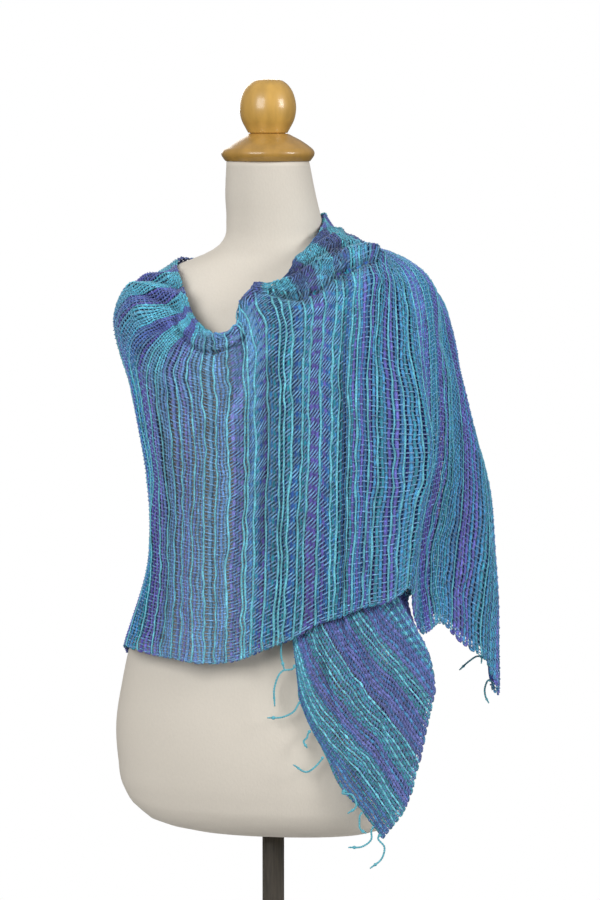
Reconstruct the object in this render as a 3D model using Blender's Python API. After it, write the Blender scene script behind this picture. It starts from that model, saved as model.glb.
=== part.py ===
# Open-weave scarf wrapped round a limbless dress form that stands on a post and a plain round base.
# Metres, +Z up, the front towards -Y. The underside of the base lies on Z = 0.

import math

import bpy
import numpy as np
from mathutils import Vector
from mathutils.bvhtree import BVHTree

# Sizes
MM = 0.001
BASE_RADIUS = 0.150
BASE_HEIGHT = 0.018
BASE_EDGE = 0.004
POST_RADIUS = 0.0132
POST_FLUTES = 32
FORM_BOTTOM = 0.250
FORM_TURN = math.radians(9)
GAP = 0.0003
WALL = 0.0020
SEAM = 0.0004
FORM_CLEARANCE = 0.0036
LAYER_CLEARANCE = 0.0050
SCARF_WIDTH = 0.540
CORD_RADIUS = 0.0009
CORD_SIDES = 3
STRIP_WIDTH = 0.0045
STRIP_PARTING = 0.0006

# Colours, one slot each
COLOURS = {
    "thread_net": (0.10, 0.24, 0.42),
    "twisted_cord": (0.08, 0.36, 0.42),
    "form_cover": (0.72, 0.66, 0.58),
    "varnished_wood": (0.52, 0.29, 0.08),
    "dark_stand": (0.06, 0.055, 0.045),
}

# Form sections, millimetres: height above the form's bottom, half width, depth to the front, depth to
# the back, sideways shift, shift to the back
FORM_SECTIONS = (
    (0, 84, 34, 36, 10, 8),
    (4, 110, 56, 58, 8, 8),
    (12, 142, 78, 81, 4, 7),
    (28, 165, 96, 100, 0, 6),
    (55, 180, 107, 112, -4, 5),
    (90, 184, 112, 119, -6, 3),
    (130, 185, 113, 120, -7, 2),
    (185, 178, 108, 118, -6, 2),
    (250, 164, 99, 106, -5, 1),
    (310, 147, 91, 92, -4, 0),
    (370, 135, 88, 83, -4, 0),
    (425, 134, 91, 81, -4, 0),
    (480, 140, 101, 85, -4, 2),
    (530, 149, 110, 91, -4, 4),
    (575, 156, 105, 95, -4, 6),
    (612, 163, 92, 92, -4, 8),
    (640, 168, 78, 80, -4, 10),
    (658, 158, 68, 68, -4, 12),
    (675, 136, 60, 60, -3, 14),
    (689, 111, 56, 56, -2, 15),
    (699, 86, 54, 55, -1, 15),
    (709, 68, 53, 54, -1, 14),
    (720, 60, 52, 53, 0, 13),
    (740, 57, 50, 52, 0, 9),
    (770, 54, 48, 51, -3, 2),
    (811, 49, 47, 48, -5, -6),
)

# Neck cap and knob, millimetres: height above the neck's top, radius
CAP_PROFILE = (
    (0, 50.5), (3.5, 53.2), (7.0, 55.2), (10.0, 55.6), (13.5, 54.0), (17.5, 49.5), (25.0, 38.5), (32.5, 24.2)
)
KNOB_PROFILE = (
    (33, 23.3), (40, 27.2), (47, 30.8), (55, 33.0), (64, 33.7),
    (74, 32.2), (83.6, 28.6), (91, 22.8), (95, 17.0), (97, 9.0)
)

# Ribs of the wrap, each a line of the weave that runs across the scarf, in order from the thrown end to
# the hanging end. Columns, millimetres: inner edge, roll, crest, chest, ribs, waist, hem
RIBS = (
    ("thrown corner edge",
     (113, 94, 937), (145, 98, 925), (184, 94, 891), (216, 94, 787),
     (235, 88, 670), (253, 64, 537), (265, 28, 422)),
    ("thrown back turn",
     (115, 60, 948), (154, 66, 936), (195, 56, 901), (224, 56, 785),
     (260, 50, 662), (271, 28, 536), (274, 8, 419)),
    ("thrown side",
     (110, 50, 956), (150, 22, 941), (194, 14, 909), (220, 10, 804),
     (245, 4, 696), (257, -8, 578), (255, -16, 461)),
    ("arm side",
     (105, 48, 960), (150, 6, 950), (190, -14, 921), (207, -30, 814),
     (220, -36, 707), (222, -46, 598), (224, -52, 493)),
    ("pleat back",
     (100, 46, 962), (141, 0, 952), (176, -30, 926), (194, -58, 816),
     (201, -66, 716), (194, -72, 616), (199, -74, 518)),
    ("pleat inner fold",
     (95, 44, 965), (130, -4, 956), (164, -42, 931), (183, -80, 818),
     (184, -92, 724), (166, -98, 619), (176, -90, 508)),
    ("pleat outer fold",
     (90, 42, 965), (123, -6, 957), (153, -54, 928), (170, -96, 819),
     (185, -112, 726), (172, -124, 640), (162, -126, 566)),
    ("front right",
     (85, 40, 962), (115, -8, 959), (134, -62, 941), (142, -113, 820),
     (149, -125, 728), (144, -131, 640), (140, -130, 552)),
    ("shoulder front",
     (71, 24, 966), (100, -12, 972), (117, -84, 945), (114, -122, 821),
     (116, -130, 728), (113, -134, 635), (109, -132, 545)),
    ("neck side",
     (56, -16, 970), (77, -46, 967), (91, -104, 929), (86, -130, 821),
     (86, -134, 729), (84, -136, 635), (81, -133, 534)),
    ("neck front",
     (32, -66, 950), (48, -84, 945), (60, -117, 914), (56, -133, 822),
     (56, -136, 729), (53, -136, 629), (51, -133, 524)),
    ("cowl right",
     (8, -92, 923), (18, -106, 918), (28, -126, 898), (27, -134, 817),
     (27, -136, 723), (23, -135, 623), (18, -132, 505)),
    ("tuft",
     (-19, -100, 912), (-16, -116, 896), (-9, -126, 877), (-5, -132, 810),
     (-5, -132, 717), (-7, -131, 613), (-12, -131, 493)),
    ("cowl middle",
     (-45, -106, 876), (-44, -116, 867), (-42, -122, 850), (-40, -126, 795),
     (-40, -124, 706), (-41, -123, 598), (-45, -127, 480)),
    ("cowl left",
     (-77, -98, 868), (-78, -106, 859), (-82, -111, 841), (-79, -115, 783),
     (-77, -112, 696), (-78, -110, 590), (-80, -118, 476)),
    ("left chest",
     (-93, -86, 882), (-103, -93, 866), (-120, -96, 840), (-117, -100, 779),
     (-111, -92, 691), (-110, -90, 587), (-114, -101, 479)),
    ("left rib",
     (-100, -70, 898), (-118, -80, 879), (-144, -80, 846), (-144, -82, 778),
     (-134, -72, 689), (-132, -70, 584), (-143, -80, 481)),
    ("left side",
     (-107, -46, 915), (-133, -56, 900), (-165, -52, 872), (-159, -50, 778),
     (-145, -40, 684), (-144, -38, 587), (-171, -44, 485)),
    ("left outline",
     (-113, -22, 929), (-146, -26, 917), (-180, -16, 887), (-166, -10, 779),
     (-149, -4, 680), (-148, 0, 583), (-177, -4, 481)),
    ("left turn",
     (-117, 0, 937), (-152, 8, 922), (-185, 18, 895), (-168, 26, 783),
     (-151, 30, 676), (-148, 34, 583), (-179, 36, 468)),
    ("left back",
     (-112, 26, 938), (-141, 40, 920), (-175, 58, 888), (-162, 68, 780),
     (-148, 70, 672), (-143, 74, 573), (-166, 84, 448)),
    ("back left",
     (-84, 58, 931), (-99, 78, 906), (-119, 98, 868), (-119, 108, 774),
     (-113, 106, 668), (-112, 110, 556), (-119, 122, 422)),
    ("back middle",
     (-36, 74, 931), (-37, 98, 900), (-40, 114, 855), (-42, 121, 761),
     (-42, 117, 660), (-42, 120, 542), (-41, 130, 403)),
    ("back right",
     (11, 77, 943), (18, 98, 908), (27, 115, 865), (34, 121, 771),
     (39, 117, 670), (44, 120, 555), (47, 128, 421)),
    ("nape right",
     (37, 70, 962), (54, 84, 933), (79, 102, 893), (104, 108, 809),
     (121, 104, 713), (135, 104, 607), (146, 106, 494)),
    ("collar",
     (52, 54, 982), (78, 58, 951), (113, 68, 921), (149, 70, 855),
     (171, 66, 775), (183, 62, 690), (191, 58, 594)),
    ("shoulder top",
     (59, 34, 997), (90, 24, 959), (126, 20, 937), (167, 12, 900),
     (186, 4, 826), (191, -2, 747), (188, -12, 666)),
    ("shoulder fall",
     (61, 10, 993), (90, -12, 959), (122, -30, 933), (158, -46, 877),
     (172, -60, 804), (173, -70, 729), (166, -80, 650)),
    ("neck fall",
     (57, -18, 980), (80, -50, 950), (105, -74, 914), (133, -90, 847),
     (147, -96, 770), (152, -100, 688), (155, -101, 596)),
    ("under the panel",
     (47, -50, 953), (61, -82, 919), (79, -102, 866), (102, -111, 787),
     (119, -114, 703), (133, -113, 611), (163, -104, 530)),
    ("widest edge",
     (34, -84, 914), (48, -104, 871), (65, -114, 811), (85, -118, 725),
     (105, -118, 631), (131, -114, 533), (190, -107, 452)),
    ("edge fall",
     (16, -100, 866), (29, -112, 813), (45, -118, 750), (65, -120, 659),
     (86, -120, 560), (122, -117, 465), (177, -111, 381)),
    ("last band",
     (-4, -108, 799), (9, -115, 748), (25, -119, 685), (43, -121, 596),
     (63, -122, 494), (101, -121, 397), (158, -115, 308)),
    ("fringed edge",
     (-24, -110, 724), (-12, -115, 661), (3, -119, 588), (23, -121, 504),
     (35, -123, 419), (76, -123, 338), (130, -119, 268)),
)

# Where one stretch ends and the next starts, as places in the table of ribs
STRETCHES = (
    ("thrown_end", 0.0, 5.0, 18),
    ("front_stretch", 5.0, 18.6, 40),
    ("back_stretch", 18.6, 25.7, 24),
    ("hanging_end", 25.7, 33.0, 27),
)
ACROSS = 26

# Main folds: from rib, from share of the width, to rib, to share of the width, height mm, spread mm
FOLDS = (
    (7.6, 0.10, 12.4, 0.045, 6.0, 9.0),
    (7.2, 0.20, 11.2, 0.120, 7.0, 10.0),
    (13.0, 0.06, 15.2, 0.20, 4.0, 10.0),
    (15.0, 0.02, 17.6, 0.16, 4.5, 10.0),
    (16.4, 0.02, 17.6, 0.20, 3.0, 9.0),
    (8.2, 0.30, 8.8, 0.98, 4.0, 16.0),
    (10.6, 0.25, 10.2, 0.98, 4.5, 18.0),
    (12.4, 0.30, 12.8, 0.98, 4.0, 16.0),
    (14.2, 0.55, 14.5, 1.00, 5.0, 14.0),
    (16.6, 0.62, 16.8, 1.00, 6.0, 14.0),
    (1.9, 0.30, 2.2, 1.00, 5.0, 14.0),
    (20.3, 0.25, 20.5, 1.00, 7.0, 18.0),
    (22.0, 0.20, 22.2, 1.00, 8.0, 20.0),
    (23.4, 0.22, 23.6, 1.00, 7.0, 18.0),
    (24.3, 0.10, 24.8, 1.00, 6.0, 16.0),
    (32.2, 0.30, 31.9, 0.72, 5.0, 10.0),
    (30.4, 0.35, 31.2, 0.98, 5.0, 14.0),
    (28.6, 0.40, 29.6, 1.00, 4.0, 14.0),
)

# Cords of the fringe, millimetres from the root: share of the width, then sideways and up at the first
# third, the second third and the tip, and how far the tip comes forward
FRONT_CORDS = (
    (0.04, -8, -14, -9, -32, -6, -52, 2),
    (0.13, -8, -15, -12, -33, -10, -54, 2),
    (0.23, -8, -13, -10, -31, -6, -51, 2),
    (0.33, -9, -13, -13, -31, -12, -50, 2),
    (0.43, -8, -13, -10, -30, -6, -50, 2),
    (0.52, -15, -7, -24, -25, -24, -48, 6),
    (0.61, -6, -10, -19, -17, -38, -18, 6),
    (0.685, -3, -7, -7, -11, -3, -19, 5),
    (0.755, -8, -10, -19, -17, -35, -8, 6),
    (0.85, 9, -5, 14, -19, 4, -27, 5),
    (0.92, -3, -10, -2, -19, 5, -24, 4),
    (0.965, -3, -15, -13, -23, -30, -24, 4),
    (0.99, 5, -15, 2, -28, -12, -40, 3),
)
BACK_CORDS = (
    (0.05, 3, -14, 5, -32, 4, -52, -3),
    (0.15, 4, -15, 7, -33, 9, -53, -3),
    (0.25, 3, -14, 5, -32, 3, -51, -3),
    (0.35, 4, -14, 7, -32, 8, -53, -3),
    (0.46, 3, -15, 4, -33, 2, -53, -3),
    (0.56, 3, -14, 5, -32, 7, -52, -3),
    (0.66, 2, -14, 3, -32, 1, -51, -3),
    (0.76, 2, -15, 4, -33, 6, -53, -3),
    (0.86, 1, -14, -1, -31, -3, -50, -3),
    (0.94, -13, 5, -23, -1, -35, -12, 0),
    (0.985, -7, -9, -6, -19, -2, -27, 0),
)


def read_curve(knots, values, places):
    """A smooth curve through rows of values at rising knots, read at the given places."""
    knots = np.asarray(knots, float)
    values = np.asarray(values, float)
    places = np.asarray(places, float)
    slopes = np.gradient(values, knots, axis=0)
    left = np.clip(np.searchsorted(knots, places) - 1, 0, len(knots) - 2)
    span = (knots[left + 1] - knots[left]).reshape((-1,) + (1,) * (values.ndim - 1))
    t = (places - knots[left]).reshape(span.shape) / span
    start = (1 + 2 * t) * (1 - t) ** 2 * values[left] + t * (1 - t) ** 2 * span * slopes[left]
    end = t * t * (3 - 2 * t) * values[left + 1] + t * t * (t - 1) * span * slopes[left + 1]
    return start + end


def lengths_along(points):
    """The distance from the first point to each point of a line."""
    steps = np.linalg.norm(np.diff(points, axis=0), axis=1)
    return np.concatenate([[0.0], np.cumsum(steps)])


def rib_points(stations, shares):
    """Points of one rib at even shares of its own length."""
    stations = np.asarray(stations, float) * MM
    fine = read_curve(lengths_along(stations), stations, np.linspace(0, lengths_along(stations)[-1], 160))
    distance = lengths_along(fine)
    wanted = np.asarray(shares) * distance[-1]
    return np.stack([np.interp(wanted, distance, fine[:, axis]) for axis in range(3)], axis=1)


def wrap_points(places, shares):
    """Points of the wrap at places in the table of ribs and at shares of its width."""
    ribs = np.array([rib_points(row[1:], shares) for row in RIBS])
    steps = np.linalg.norm(np.diff(ribs, axis=0), axis=2).mean(axis=1)
    knots = np.concatenate([[0.0], np.cumsum(steps)])
    return read_curve(knots, ribs, np.interp(places, np.arange(len(RIBS)), knots)), knots


def grid_normals(points):
    """Unit normals of a grid of points, on the side away from the form."""
    along = np.gradient(points, axis=0)
    across = np.gradient(points, axis=1)
    normals = np.cross(along, across)
    return normals / np.linalg.norm(normals, axis=2, keepdims=True)


def distance_to_line(along, across, start, end):
    """Distance from points of the flat scarf to a straight line on it, and the share along that line."""
    line = np.subtract(end, start)
    size = float(np.hypot(*line))
    share = ((along - start[0]) * line[0] + (across - start[1]) * line[1]) / (size * size)
    held = np.clip(share, 0, 1)
    gap = np.hypot(along - start[0] - held * line[0], across - start[1] - held * line[1])
    return gap, held


def fold_heights(places, shares, knots):
    """How far the main folds lift each point of the grid, in metres."""
    along = np.interp(places, np.arange(len(RIBS)), knots)[:, None] + 0 * shares[None, :]
    across = shares[None, :] * SCARF_WIDTH + 0 * places[:, None]
    lift = np.zeros(along.shape)
    for from_rib, from_share, to_rib, to_share, height, spread in FOLDS:
        start = (np.interp(from_rib, np.arange(len(RIBS)), knots), from_share * SCARF_WIDTH)
        end = (np.interp(to_rib, np.arange(len(RIBS)), knots), to_share * SCARF_WIDTH)
        gap, _ = distance_to_line(along, across, start, end)
        lift += height * MM * np.exp(-((gap / (spread * MM)) ** 2))
    return lift


def form_ring(height, steps):
    """One level section of the form, as points round it."""
    table = np.array(FORM_SECTIONS, float) * MM
    half, front, back, side, rear = read_curve(table[:, 0], table[:, 1:], [height])[0]
    turn = np.linspace(0, 2 * math.pi, steps, endpoint=False)
    depth = np.where(np.sin(turn) < 0, front, back)
    x = half * np.sign(np.cos(turn)) * np.abs(np.cos(turn)) ** 0.92 + side
    y = depth * np.sign(np.sin(turn)) * np.abs(np.sin(turn)) ** 0.92 + rear
    cosine, sine = math.cos(FORM_TURN), math.sin(FORM_TURN)
    return np.stack([x * cosine + y * sine, -x * sine + y * cosine, 0 * x + height + FORM_BOTTOM], axis=1)


def grid_tube_faces(rings, steps):
    """Faces of a closed tube of rings with flat ends, facing out."""
    faces = []
    for ring in range(rings - 1):
        for step in range(steps):
            after = (step + 1) % steps
            low, high = ring * steps, (ring + 1) * steps
            faces.append((low + step, low + after, high + after, high + step))
    faces.append(tuple(range(steps - 1, -1, -1)))
    faces.append(tuple((rings - 1) * steps + step for step in range(steps)))
    return faces


def add_object(name, points, faces, slot):
    """A named mesh object with its own material slot."""
    mesh = bpy.data.meshes.new(name)
    mesh.from_pydata([tuple(map(float, point)) for point in points], [], faces)
    mesh.validate()
    mesh.materials.append(slot_material(slot))
    built = bpy.data.objects.new(name, mesh)
    bpy.context.scene.collection.objects.link(built)
    return built


def slot_material(slot):
    """The material of a slot."""
    found = bpy.data.materials.get(slot)
    if found:
        return found
    made = bpy.data.materials.new(slot)
    made.use_nodes = True
    shader = made.node_tree.nodes["Principled BSDF"]
    shader.inputs["Base Color"].default_value = COLOURS[slot] + (1.0,)
    shader.inputs["Roughness"].default_value = 0.35 if slot == "varnished_wood" else 0.85
    return made


def turned(name, profile, bottom, steps, slot, centre):
    """A turned solid from a profile of heights and radii."""
    turn = np.linspace(0, 2 * math.pi, steps, endpoint=False)
    points = []
    for height, radius in profile:
        ring = np.stack([radius * np.cos(turn), radius * np.sin(turn), 0 * turn + height], axis=1)
        points.extend(ring + np.array([centre[0], centre[1], bottom]))
    return add_object(name, points, grid_tube_faces(len(profile), steps), slot)


def smooth_profile(profile, count):
    """A turned profile in metres with evenly spaced points."""
    table = np.array(profile, float) * MM
    distance = lengths_along(table)
    return read_curve(distance, table, np.linspace(0, distance[-1], count))


def build_form():
    """The body of the form, and the search tree that the cloth is kept clear of."""
    top = FORM_SECTIONS[-1][0] * MM
    lower = np.linspace(0.036, 0.600, 15)
    upper = np.linspace(0.618, top, 14)
    heights = np.concatenate([[0, 0.005, 0.017], lower, upper])
    steps = 34
    points = np.concatenate([form_ring(height, steps) for height in heights])
    faces = grid_tube_faces(len(heights), steps)
    form = add_object("dress_form", points, faces, "form_cover")
    tree = BVHTree.FromPolygons([Vector(point) for point in points], faces)
    return form, tree


def keep_outside(points, tree, clearance, reach, flat_only):
    """Moves each point out along the nearest face's normal until it is clear of the surface."""
    moved = points.copy()
    for row in range(points.shape[0]):
        for column in range(points.shape[1]):
            place, normal, _, distance = tree.find_nearest(Vector(points[row, column]))
            if place is None or distance > reach:
                continue
            offset = Vector(points[row, column]) - place
            height = offset.dot(normal)
            aside = (offset - height * normal).length
            if height < clearance and (not flat_only or aside < 0.004):
                moved[row, column] = place + normal * clearance
    return moved


def soften(points, before, passes):
    """Spreads what the last move changed over the neighbours, so that no step is left."""
    change = points - before
    for _ in range(passes):
        padded = np.pad(change, ((1, 1), (1, 1), (0, 0)), mode="edge")
        near = padded[:-2, 1:-1] + padded[2:, 1:-1] + padded[1:-1, :-2] + padded[1:-1, 2:]
        change = 0.5 * change + 0.125 * near
    return before + change


def sheet_tree(points):
    """A search tree of a grid surface whose faces look away from the form."""
    rows, columns = points.shape[:2]
    flat = points.reshape(-1, 3)
    faces = []
    for row in range(rows - 1):
        for column in range(columns - 1):
            low = row * columns + column
            faces.append((low, low + columns, low + columns + 1, low + 1))
    return BVHTree.FromPolygons([Vector(point) for point in flat], faces)


def wall(name, points, normals, slot, thickness):
    """A thin closed wall on each side of a grid surface."""
    rows, columns = points.shape[:2]
    outer = (points + normals * thickness / 2).reshape(-1, 3)
    inner = (points - normals * thickness / 2).reshape(-1, 3)
    count = rows * columns
    faces = []
    for row in range(rows - 1):
        for column in range(columns - 1):
            low = row * columns + column
            quad = (low, low + columns, low + columns + 1, low + 1)
            faces.append(quad)
            faces.append(tuple(count + corner for corner in reversed(quad)))
    rim = [column for column in range(columns)]
    rim += [row * columns + columns - 1 for row in range(1, rows)]
    rim += [(rows - 1) * columns + column for column in range(columns - 2, -1, -1)]
    rim += [row * columns for row in range(rows - 2, 0, -1)]
    for here, after in zip(rim, rim[1:] + rim[:1]):
        faces.append((here, after, count + after, count + here))
    return add_object(name, np.concatenate([outer, inner]), faces, slot)


def cord(name, path, radius, slot):
    """A thin cord of few sides along a path, closed at both ends."""
    rings = []
    for index, point in enumerate(path):
        ahead = path[min(index + 1, len(path) - 1)] - path[max(index - 1, 0)]
        ahead = ahead / np.linalg.norm(ahead)
        side = np.cross(ahead, [0.0, 1.0, 0.15])
        side = side / np.linalg.norm(side)
        up = np.cross(side, ahead)
        for step in range(CORD_SIDES):
            angle = 2 * math.pi * step / CORD_SIDES
            rings.append(point + radius * (math.cos(angle) * side - math.sin(angle) * up))
    return add_object(name, rings, grid_tube_faces(len(path), CORD_SIDES), slot)


def fringe(name, edge, beyond, cords, form_tree):
    """A narrow strip past the cloth's edge with the cords of one end fused into it."""
    outward = beyond / np.linalg.norm(beyond, axis=1, keepdims=True)
    near = edge + outward * STRIP_PARTING
    far = edge + outward * (STRIP_PARTING + STRIP_WIDTH)
    band = np.stack([near, (near + far) / 2, far], axis=0)
    strip = wall(name, band, grid_normals(band), "twisted_cord", WALL)
    shares = np.linspace(0, 1, len(edge))
    helpers = bpy.data.collections.new(name + "_cords")
    bpy.context.scene.collection.children.link(helpers)
    for number, (share, x1, z1, x2, z2, x3, z3, forward) in enumerate(cords):
        middle = (near + far) / 2
        root = np.array([np.interp(share, shares, middle[:, axis]) for axis in range(3)])
        way = np.array([np.interp(share, shares, outward[:, axis]) for axis in range(3)])
        steps = ((x1, -forward * 0.3, z1), (x2, -forward * 0.7, z2), (x3, -forward, z3))
        stations = np.array([root, root + way * 0.004] + [root + np.array(step) * MM for step in steps])
        path = read_curve(lengths_along(stations), stations, np.linspace(0, lengths_along(stations)[-1], 9))
        path[2:] = keep_outside(path[None, 2:], form_tree, 0.0022, 0.05, False)[0]
        strand = cord(name + "_%d" % number, path, CORD_RADIUS, "twisted_cord")
        bpy.context.scene.collection.objects.unlink(strand)
        helpers.objects.link(strand)
        strand.hide_render = True
        fuse = strip.modifiers.new("fuse_%d" % number, "BOOLEAN")
        fuse.operation = "UNION"
        fuse.solver = "EXACT"
        fuse.object = strand
    return strip


for leftover in list(bpy.data.objects):
    bpy.data.objects.remove(leftover, do_unlink=True)

# Stand and form
base_profile = (
    (0, BASE_RADIUS - BASE_EDGE / 2),
    (BASE_EDGE / 2, BASE_RADIUS),
    (BASE_HEIGHT - BASE_EDGE, BASE_RADIUS),
    (BASE_HEIGHT - BASE_EDGE / 3, BASE_RADIUS - BASE_EDGE / 3),
    (BASE_HEIGHT, BASE_RADIUS - BASE_EDGE),
)
turned("stand_base", base_profile, 0.0, 56, "dark_stand", (0.0, 0.0))
post_profile = ((0, POST_RADIUS), (FORM_BOTTOM - BASE_HEIGHT - 2 * GAP, POST_RADIUS))
turned("stand_post", post_profile, BASE_HEIGHT + GAP, POST_FLUTES, "dark_stand", (0.0, 0.0))
form_object, form_tree = build_form()
neck_top = FORM_BOTTOM + FORM_SECTIONS[-1][0] * MM + GAP
neck_ring = form_ring(FORM_SECTIONS[-1][0] * MM, 34)
neck_centre = (float(neck_ring[:, 0].mean()), float(neck_ring[:, 1].mean()))
turned("neck_cap", smooth_profile(CAP_PROFILE, 11), neck_top, 36, "varnished_wood", neck_centre)
knob_profile = smooth_profile(KNOB_PROFILE, 12) + np.array([GAP, 0.0])
turned("knob", knob_profile, neck_top, 32, "varnished_wood", neck_centre)

# The wrap, one grid from the thrown end to the hanging end
shares = np.linspace(0, 1, ACROSS)
places = []
spans = []
_, knots = wrap_points(np.array([0.0]), shares)
rib_numbers = np.arange(len(RIBS))
for _, first, last, count in STRETCHES:
    start = np.interp(first, rib_numbers, knots) + (SEAM / 2 if first > 0 else 0)
    end = np.interp(last, rib_numbers, knots) - (SEAM / 2 if last < len(RIBS) - 1 else 0)
    spans.append((len(places), len(places) + count))
    places.extend(np.interp(np.linspace(start, end, count), knots, rib_numbers))
places = np.array(places)
sheet, _ = wrap_points(places, shares)
sheet = sheet + grid_normals(sheet) * fold_heights(places, shares, knots)[:, :, None]
for _ in range(3):
    clear = keep_outside(sheet, form_tree, FORM_CLEARANCE, 0.06, False)
    sheet = soften(clear, sheet, 2)
sheet = keep_outside(sheet, form_tree, FORM_CLEARANCE, 0.06, False)
under_from = int(np.searchsorted(places, 21.0))
over_to = int(np.searchsorted(places, 14.0))
under = sheet_tree(sheet[under_from:])
for _ in range(3):
    over = sheet[:over_to]
    clear = keep_outside(over, under, LAYER_CLEARANCE, 0.03, True)
    sheet[:over_to] = soften(clear, over, 2)
sheet[:over_to] = keep_outside(sheet[:over_to], under, LAYER_CLEARANCE, 0.03, True)
normals = np.concatenate([grid_normals(sheet[first:last]) for first, last in spans])
for first, _ in spans[1:]:
    middle = (sheet[first - 1] + sheet[first]) / 2
    onward = sheet[first + 1] - sheet[first - 2]
    onward = onward / np.linalg.norm(onward, axis=1, keepdims=True)
    sheet[first - 1] = middle - onward * SEAM / 2
    sheet[first] = middle + onward * SEAM / 2
    shared = normals[first - 1] + normals[first]
    shared = shared / np.linalg.norm(shared, axis=1, keepdims=True)
    normals[first - 1] = shared
    normals[first] = shared
for (name, _, _, _), (first, last) in zip(STRETCHES, spans):
    wall(name, sheet[first:last], normals[first:last], "thread_net", WALL)

# Fringes
front_edge = sheet[-1]
fringe("fringe_front", front_edge, sheet[-1] - sheet[-2], FRONT_CORDS, form_tree)
back_edge = sheet[0]
back_cords = [(1 - row[0],) + row[1:] for row in BACK_CORDS]
fringe("fringe_back", back_edge[::-1], (sheet[0] - sheet[1])[::-1], back_cords, form_tree)
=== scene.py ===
import math

import bpy
import numpy as np
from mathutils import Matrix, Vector
from mathutils.bvhtree import BVHTree


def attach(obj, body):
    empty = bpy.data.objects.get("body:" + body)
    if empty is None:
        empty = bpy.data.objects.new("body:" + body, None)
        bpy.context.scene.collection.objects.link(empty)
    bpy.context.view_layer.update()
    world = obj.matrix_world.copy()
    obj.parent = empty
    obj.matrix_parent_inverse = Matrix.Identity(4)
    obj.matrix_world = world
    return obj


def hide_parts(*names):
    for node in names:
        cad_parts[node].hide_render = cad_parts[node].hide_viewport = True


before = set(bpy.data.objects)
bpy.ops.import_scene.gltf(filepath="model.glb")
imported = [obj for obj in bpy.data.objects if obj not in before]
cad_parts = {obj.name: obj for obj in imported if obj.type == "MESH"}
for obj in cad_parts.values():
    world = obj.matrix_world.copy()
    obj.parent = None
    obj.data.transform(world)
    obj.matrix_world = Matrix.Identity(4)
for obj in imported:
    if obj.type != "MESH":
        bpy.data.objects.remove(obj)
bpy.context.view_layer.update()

# Sizes in metres, angles in radians
MM = 0.001
BASE_RADIUS = 0.150
BASE_HEIGHT = 0.018
POST_RADIUS = 0.0132
FORM_BOTTOM = 0.250
FORM_TURN = math.radians(9)
GAP = 0.0003
SCARF_WIDTH = 0.540
SEED = 41

# The form is narrower at its lower right corner, by this much, about this height, over this spread
TUCK_DEPTH = 0.014
TUCK_HEIGHT = 0.305
TUCK_SPREAD = 0.045
FORM_HALF_WIDTH = 0.16

# The drape: points across the coarse cloth, how far it stays off the form and its upper layer off the
# lower one, how far away the form and that layer are looked for, and the places in the table of ribs
# where the lower layer starts and the upper one ends; then the same for the fine cloth, the height of its
# small waves and that of its ruffled edges
ACROSS = 26
FORM_CLEARANCE = 0.0036
LAYER_CLEARANCE = 0.0050
FORM_REACH = 0.06
LAYER_REACH = 0.03
LOWER_FROM = 21.0
UPPER_TO = 14.0
FINE_STEP = 0.0025
FINE_FORM_CLEARANCE = 0.0026
FINE_LAYER_CLEARANCE = 0.0036
SMALL_WAVES = 0.0009
RUFFLE = 0.0022

# The weave: spacing, counts, widths and corners of the yarns
WEFT_PITCH = 0.0050
WARP_COUNT = 108
EDGE_WARPS = 4
BRIGHT_WIDTH = 0.0026
WARP_WIDTH = 0.0020
WEFT_SIDES = 4
WARP_SIDES = 3
TURN_POINTS = 3

# How far the yarns rise and fall at a crossing, and where they lie when they don't
WEFT_RISE = 0.0004
WEFT_REST = 0.0003
PLAIN_LIFT = 0.0005
BRIGHT_LIFT = 0.0009
BRIGHT_RISE = 0.0002
BRIGHT_WANDER = 0.0004
WARP_RISE = 0.0009
WARP_REST = 0.0003
WARP_UNDER_BRIGHT = 0.0004
EDGE_WARP_LIFT = 0.0008

# How wide a yarn is at the least and at the most, as a share of the room beside it
LEAST_WEFT = 0.37
MOST_WEFT = 0.56
MOST_WARP = 0.5

# How uneven the yarns are in width, how far the wefts wander in two lengths of wave and the warps in one
WEFT_UNEVEN = 0.30
WARP_UNEVEN = 0.22
LONG_WANDER = 0.0019
SHORT_WANDER = 0.0016
WARP_WANDER = 0.0010

# The cords of the fringe: thickness of a ply and of a knot, points along a cord, the point where it is
# tied and how often it is twisted
CORD_PLY = 0.0008
CORD_KNOT = 0.0019
CORD_POINTS = 40
CORD_TIED = 33
CORD_TWISTS = 9

# Form sections, millimetres: height above the form's bottom, half width, depth to the front, depth to
# the back, sideways shift, shift to the back
FORM_SECTIONS = (
    (0, 84, 34, 36, 10, 8),
    (4, 110, 56, 58, 8, 8),
    (12, 142, 78, 81, 4, 7),
    (28, 165, 96, 100, 0, 6),
    (55, 180, 107, 112, -4, 5),
    (90, 184, 112, 119, -6, 3),
    (130, 185, 113, 120, -7, 2),
    (185, 178, 108, 118, -6, 2),
    (250, 164, 99, 106, -5, 1),
    (310, 147, 91, 92, -4, 0),
    (370, 135, 88, 83, -4, 0),
    (425, 134, 91, 81, -4, 0),
    (480, 140, 101, 85, -4, 2),
    (530, 149, 110, 91, -4, 4),
    (575, 156, 105, 95, -4, 6),
    (612, 163, 92, 92, -4, 8),
    (640, 168, 78, 80, -4, 10),
    (658, 158, 68, 68, -4, 12),
    (675, 136, 60, 60, -3, 14),
    (689, 111, 56, 56, -2, 15),
    (699, 86, 54, 55, -1, 15),
    (709, 68, 53, 54, -1, 14),
    (720, 60, 52, 53, 0, 13),
    (740, 57, 50, 52, 0, 9),
    (770, 54, 48, 51, -3, 2),
    (811, 49, 47, 48, -5, -6),
)

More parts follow.
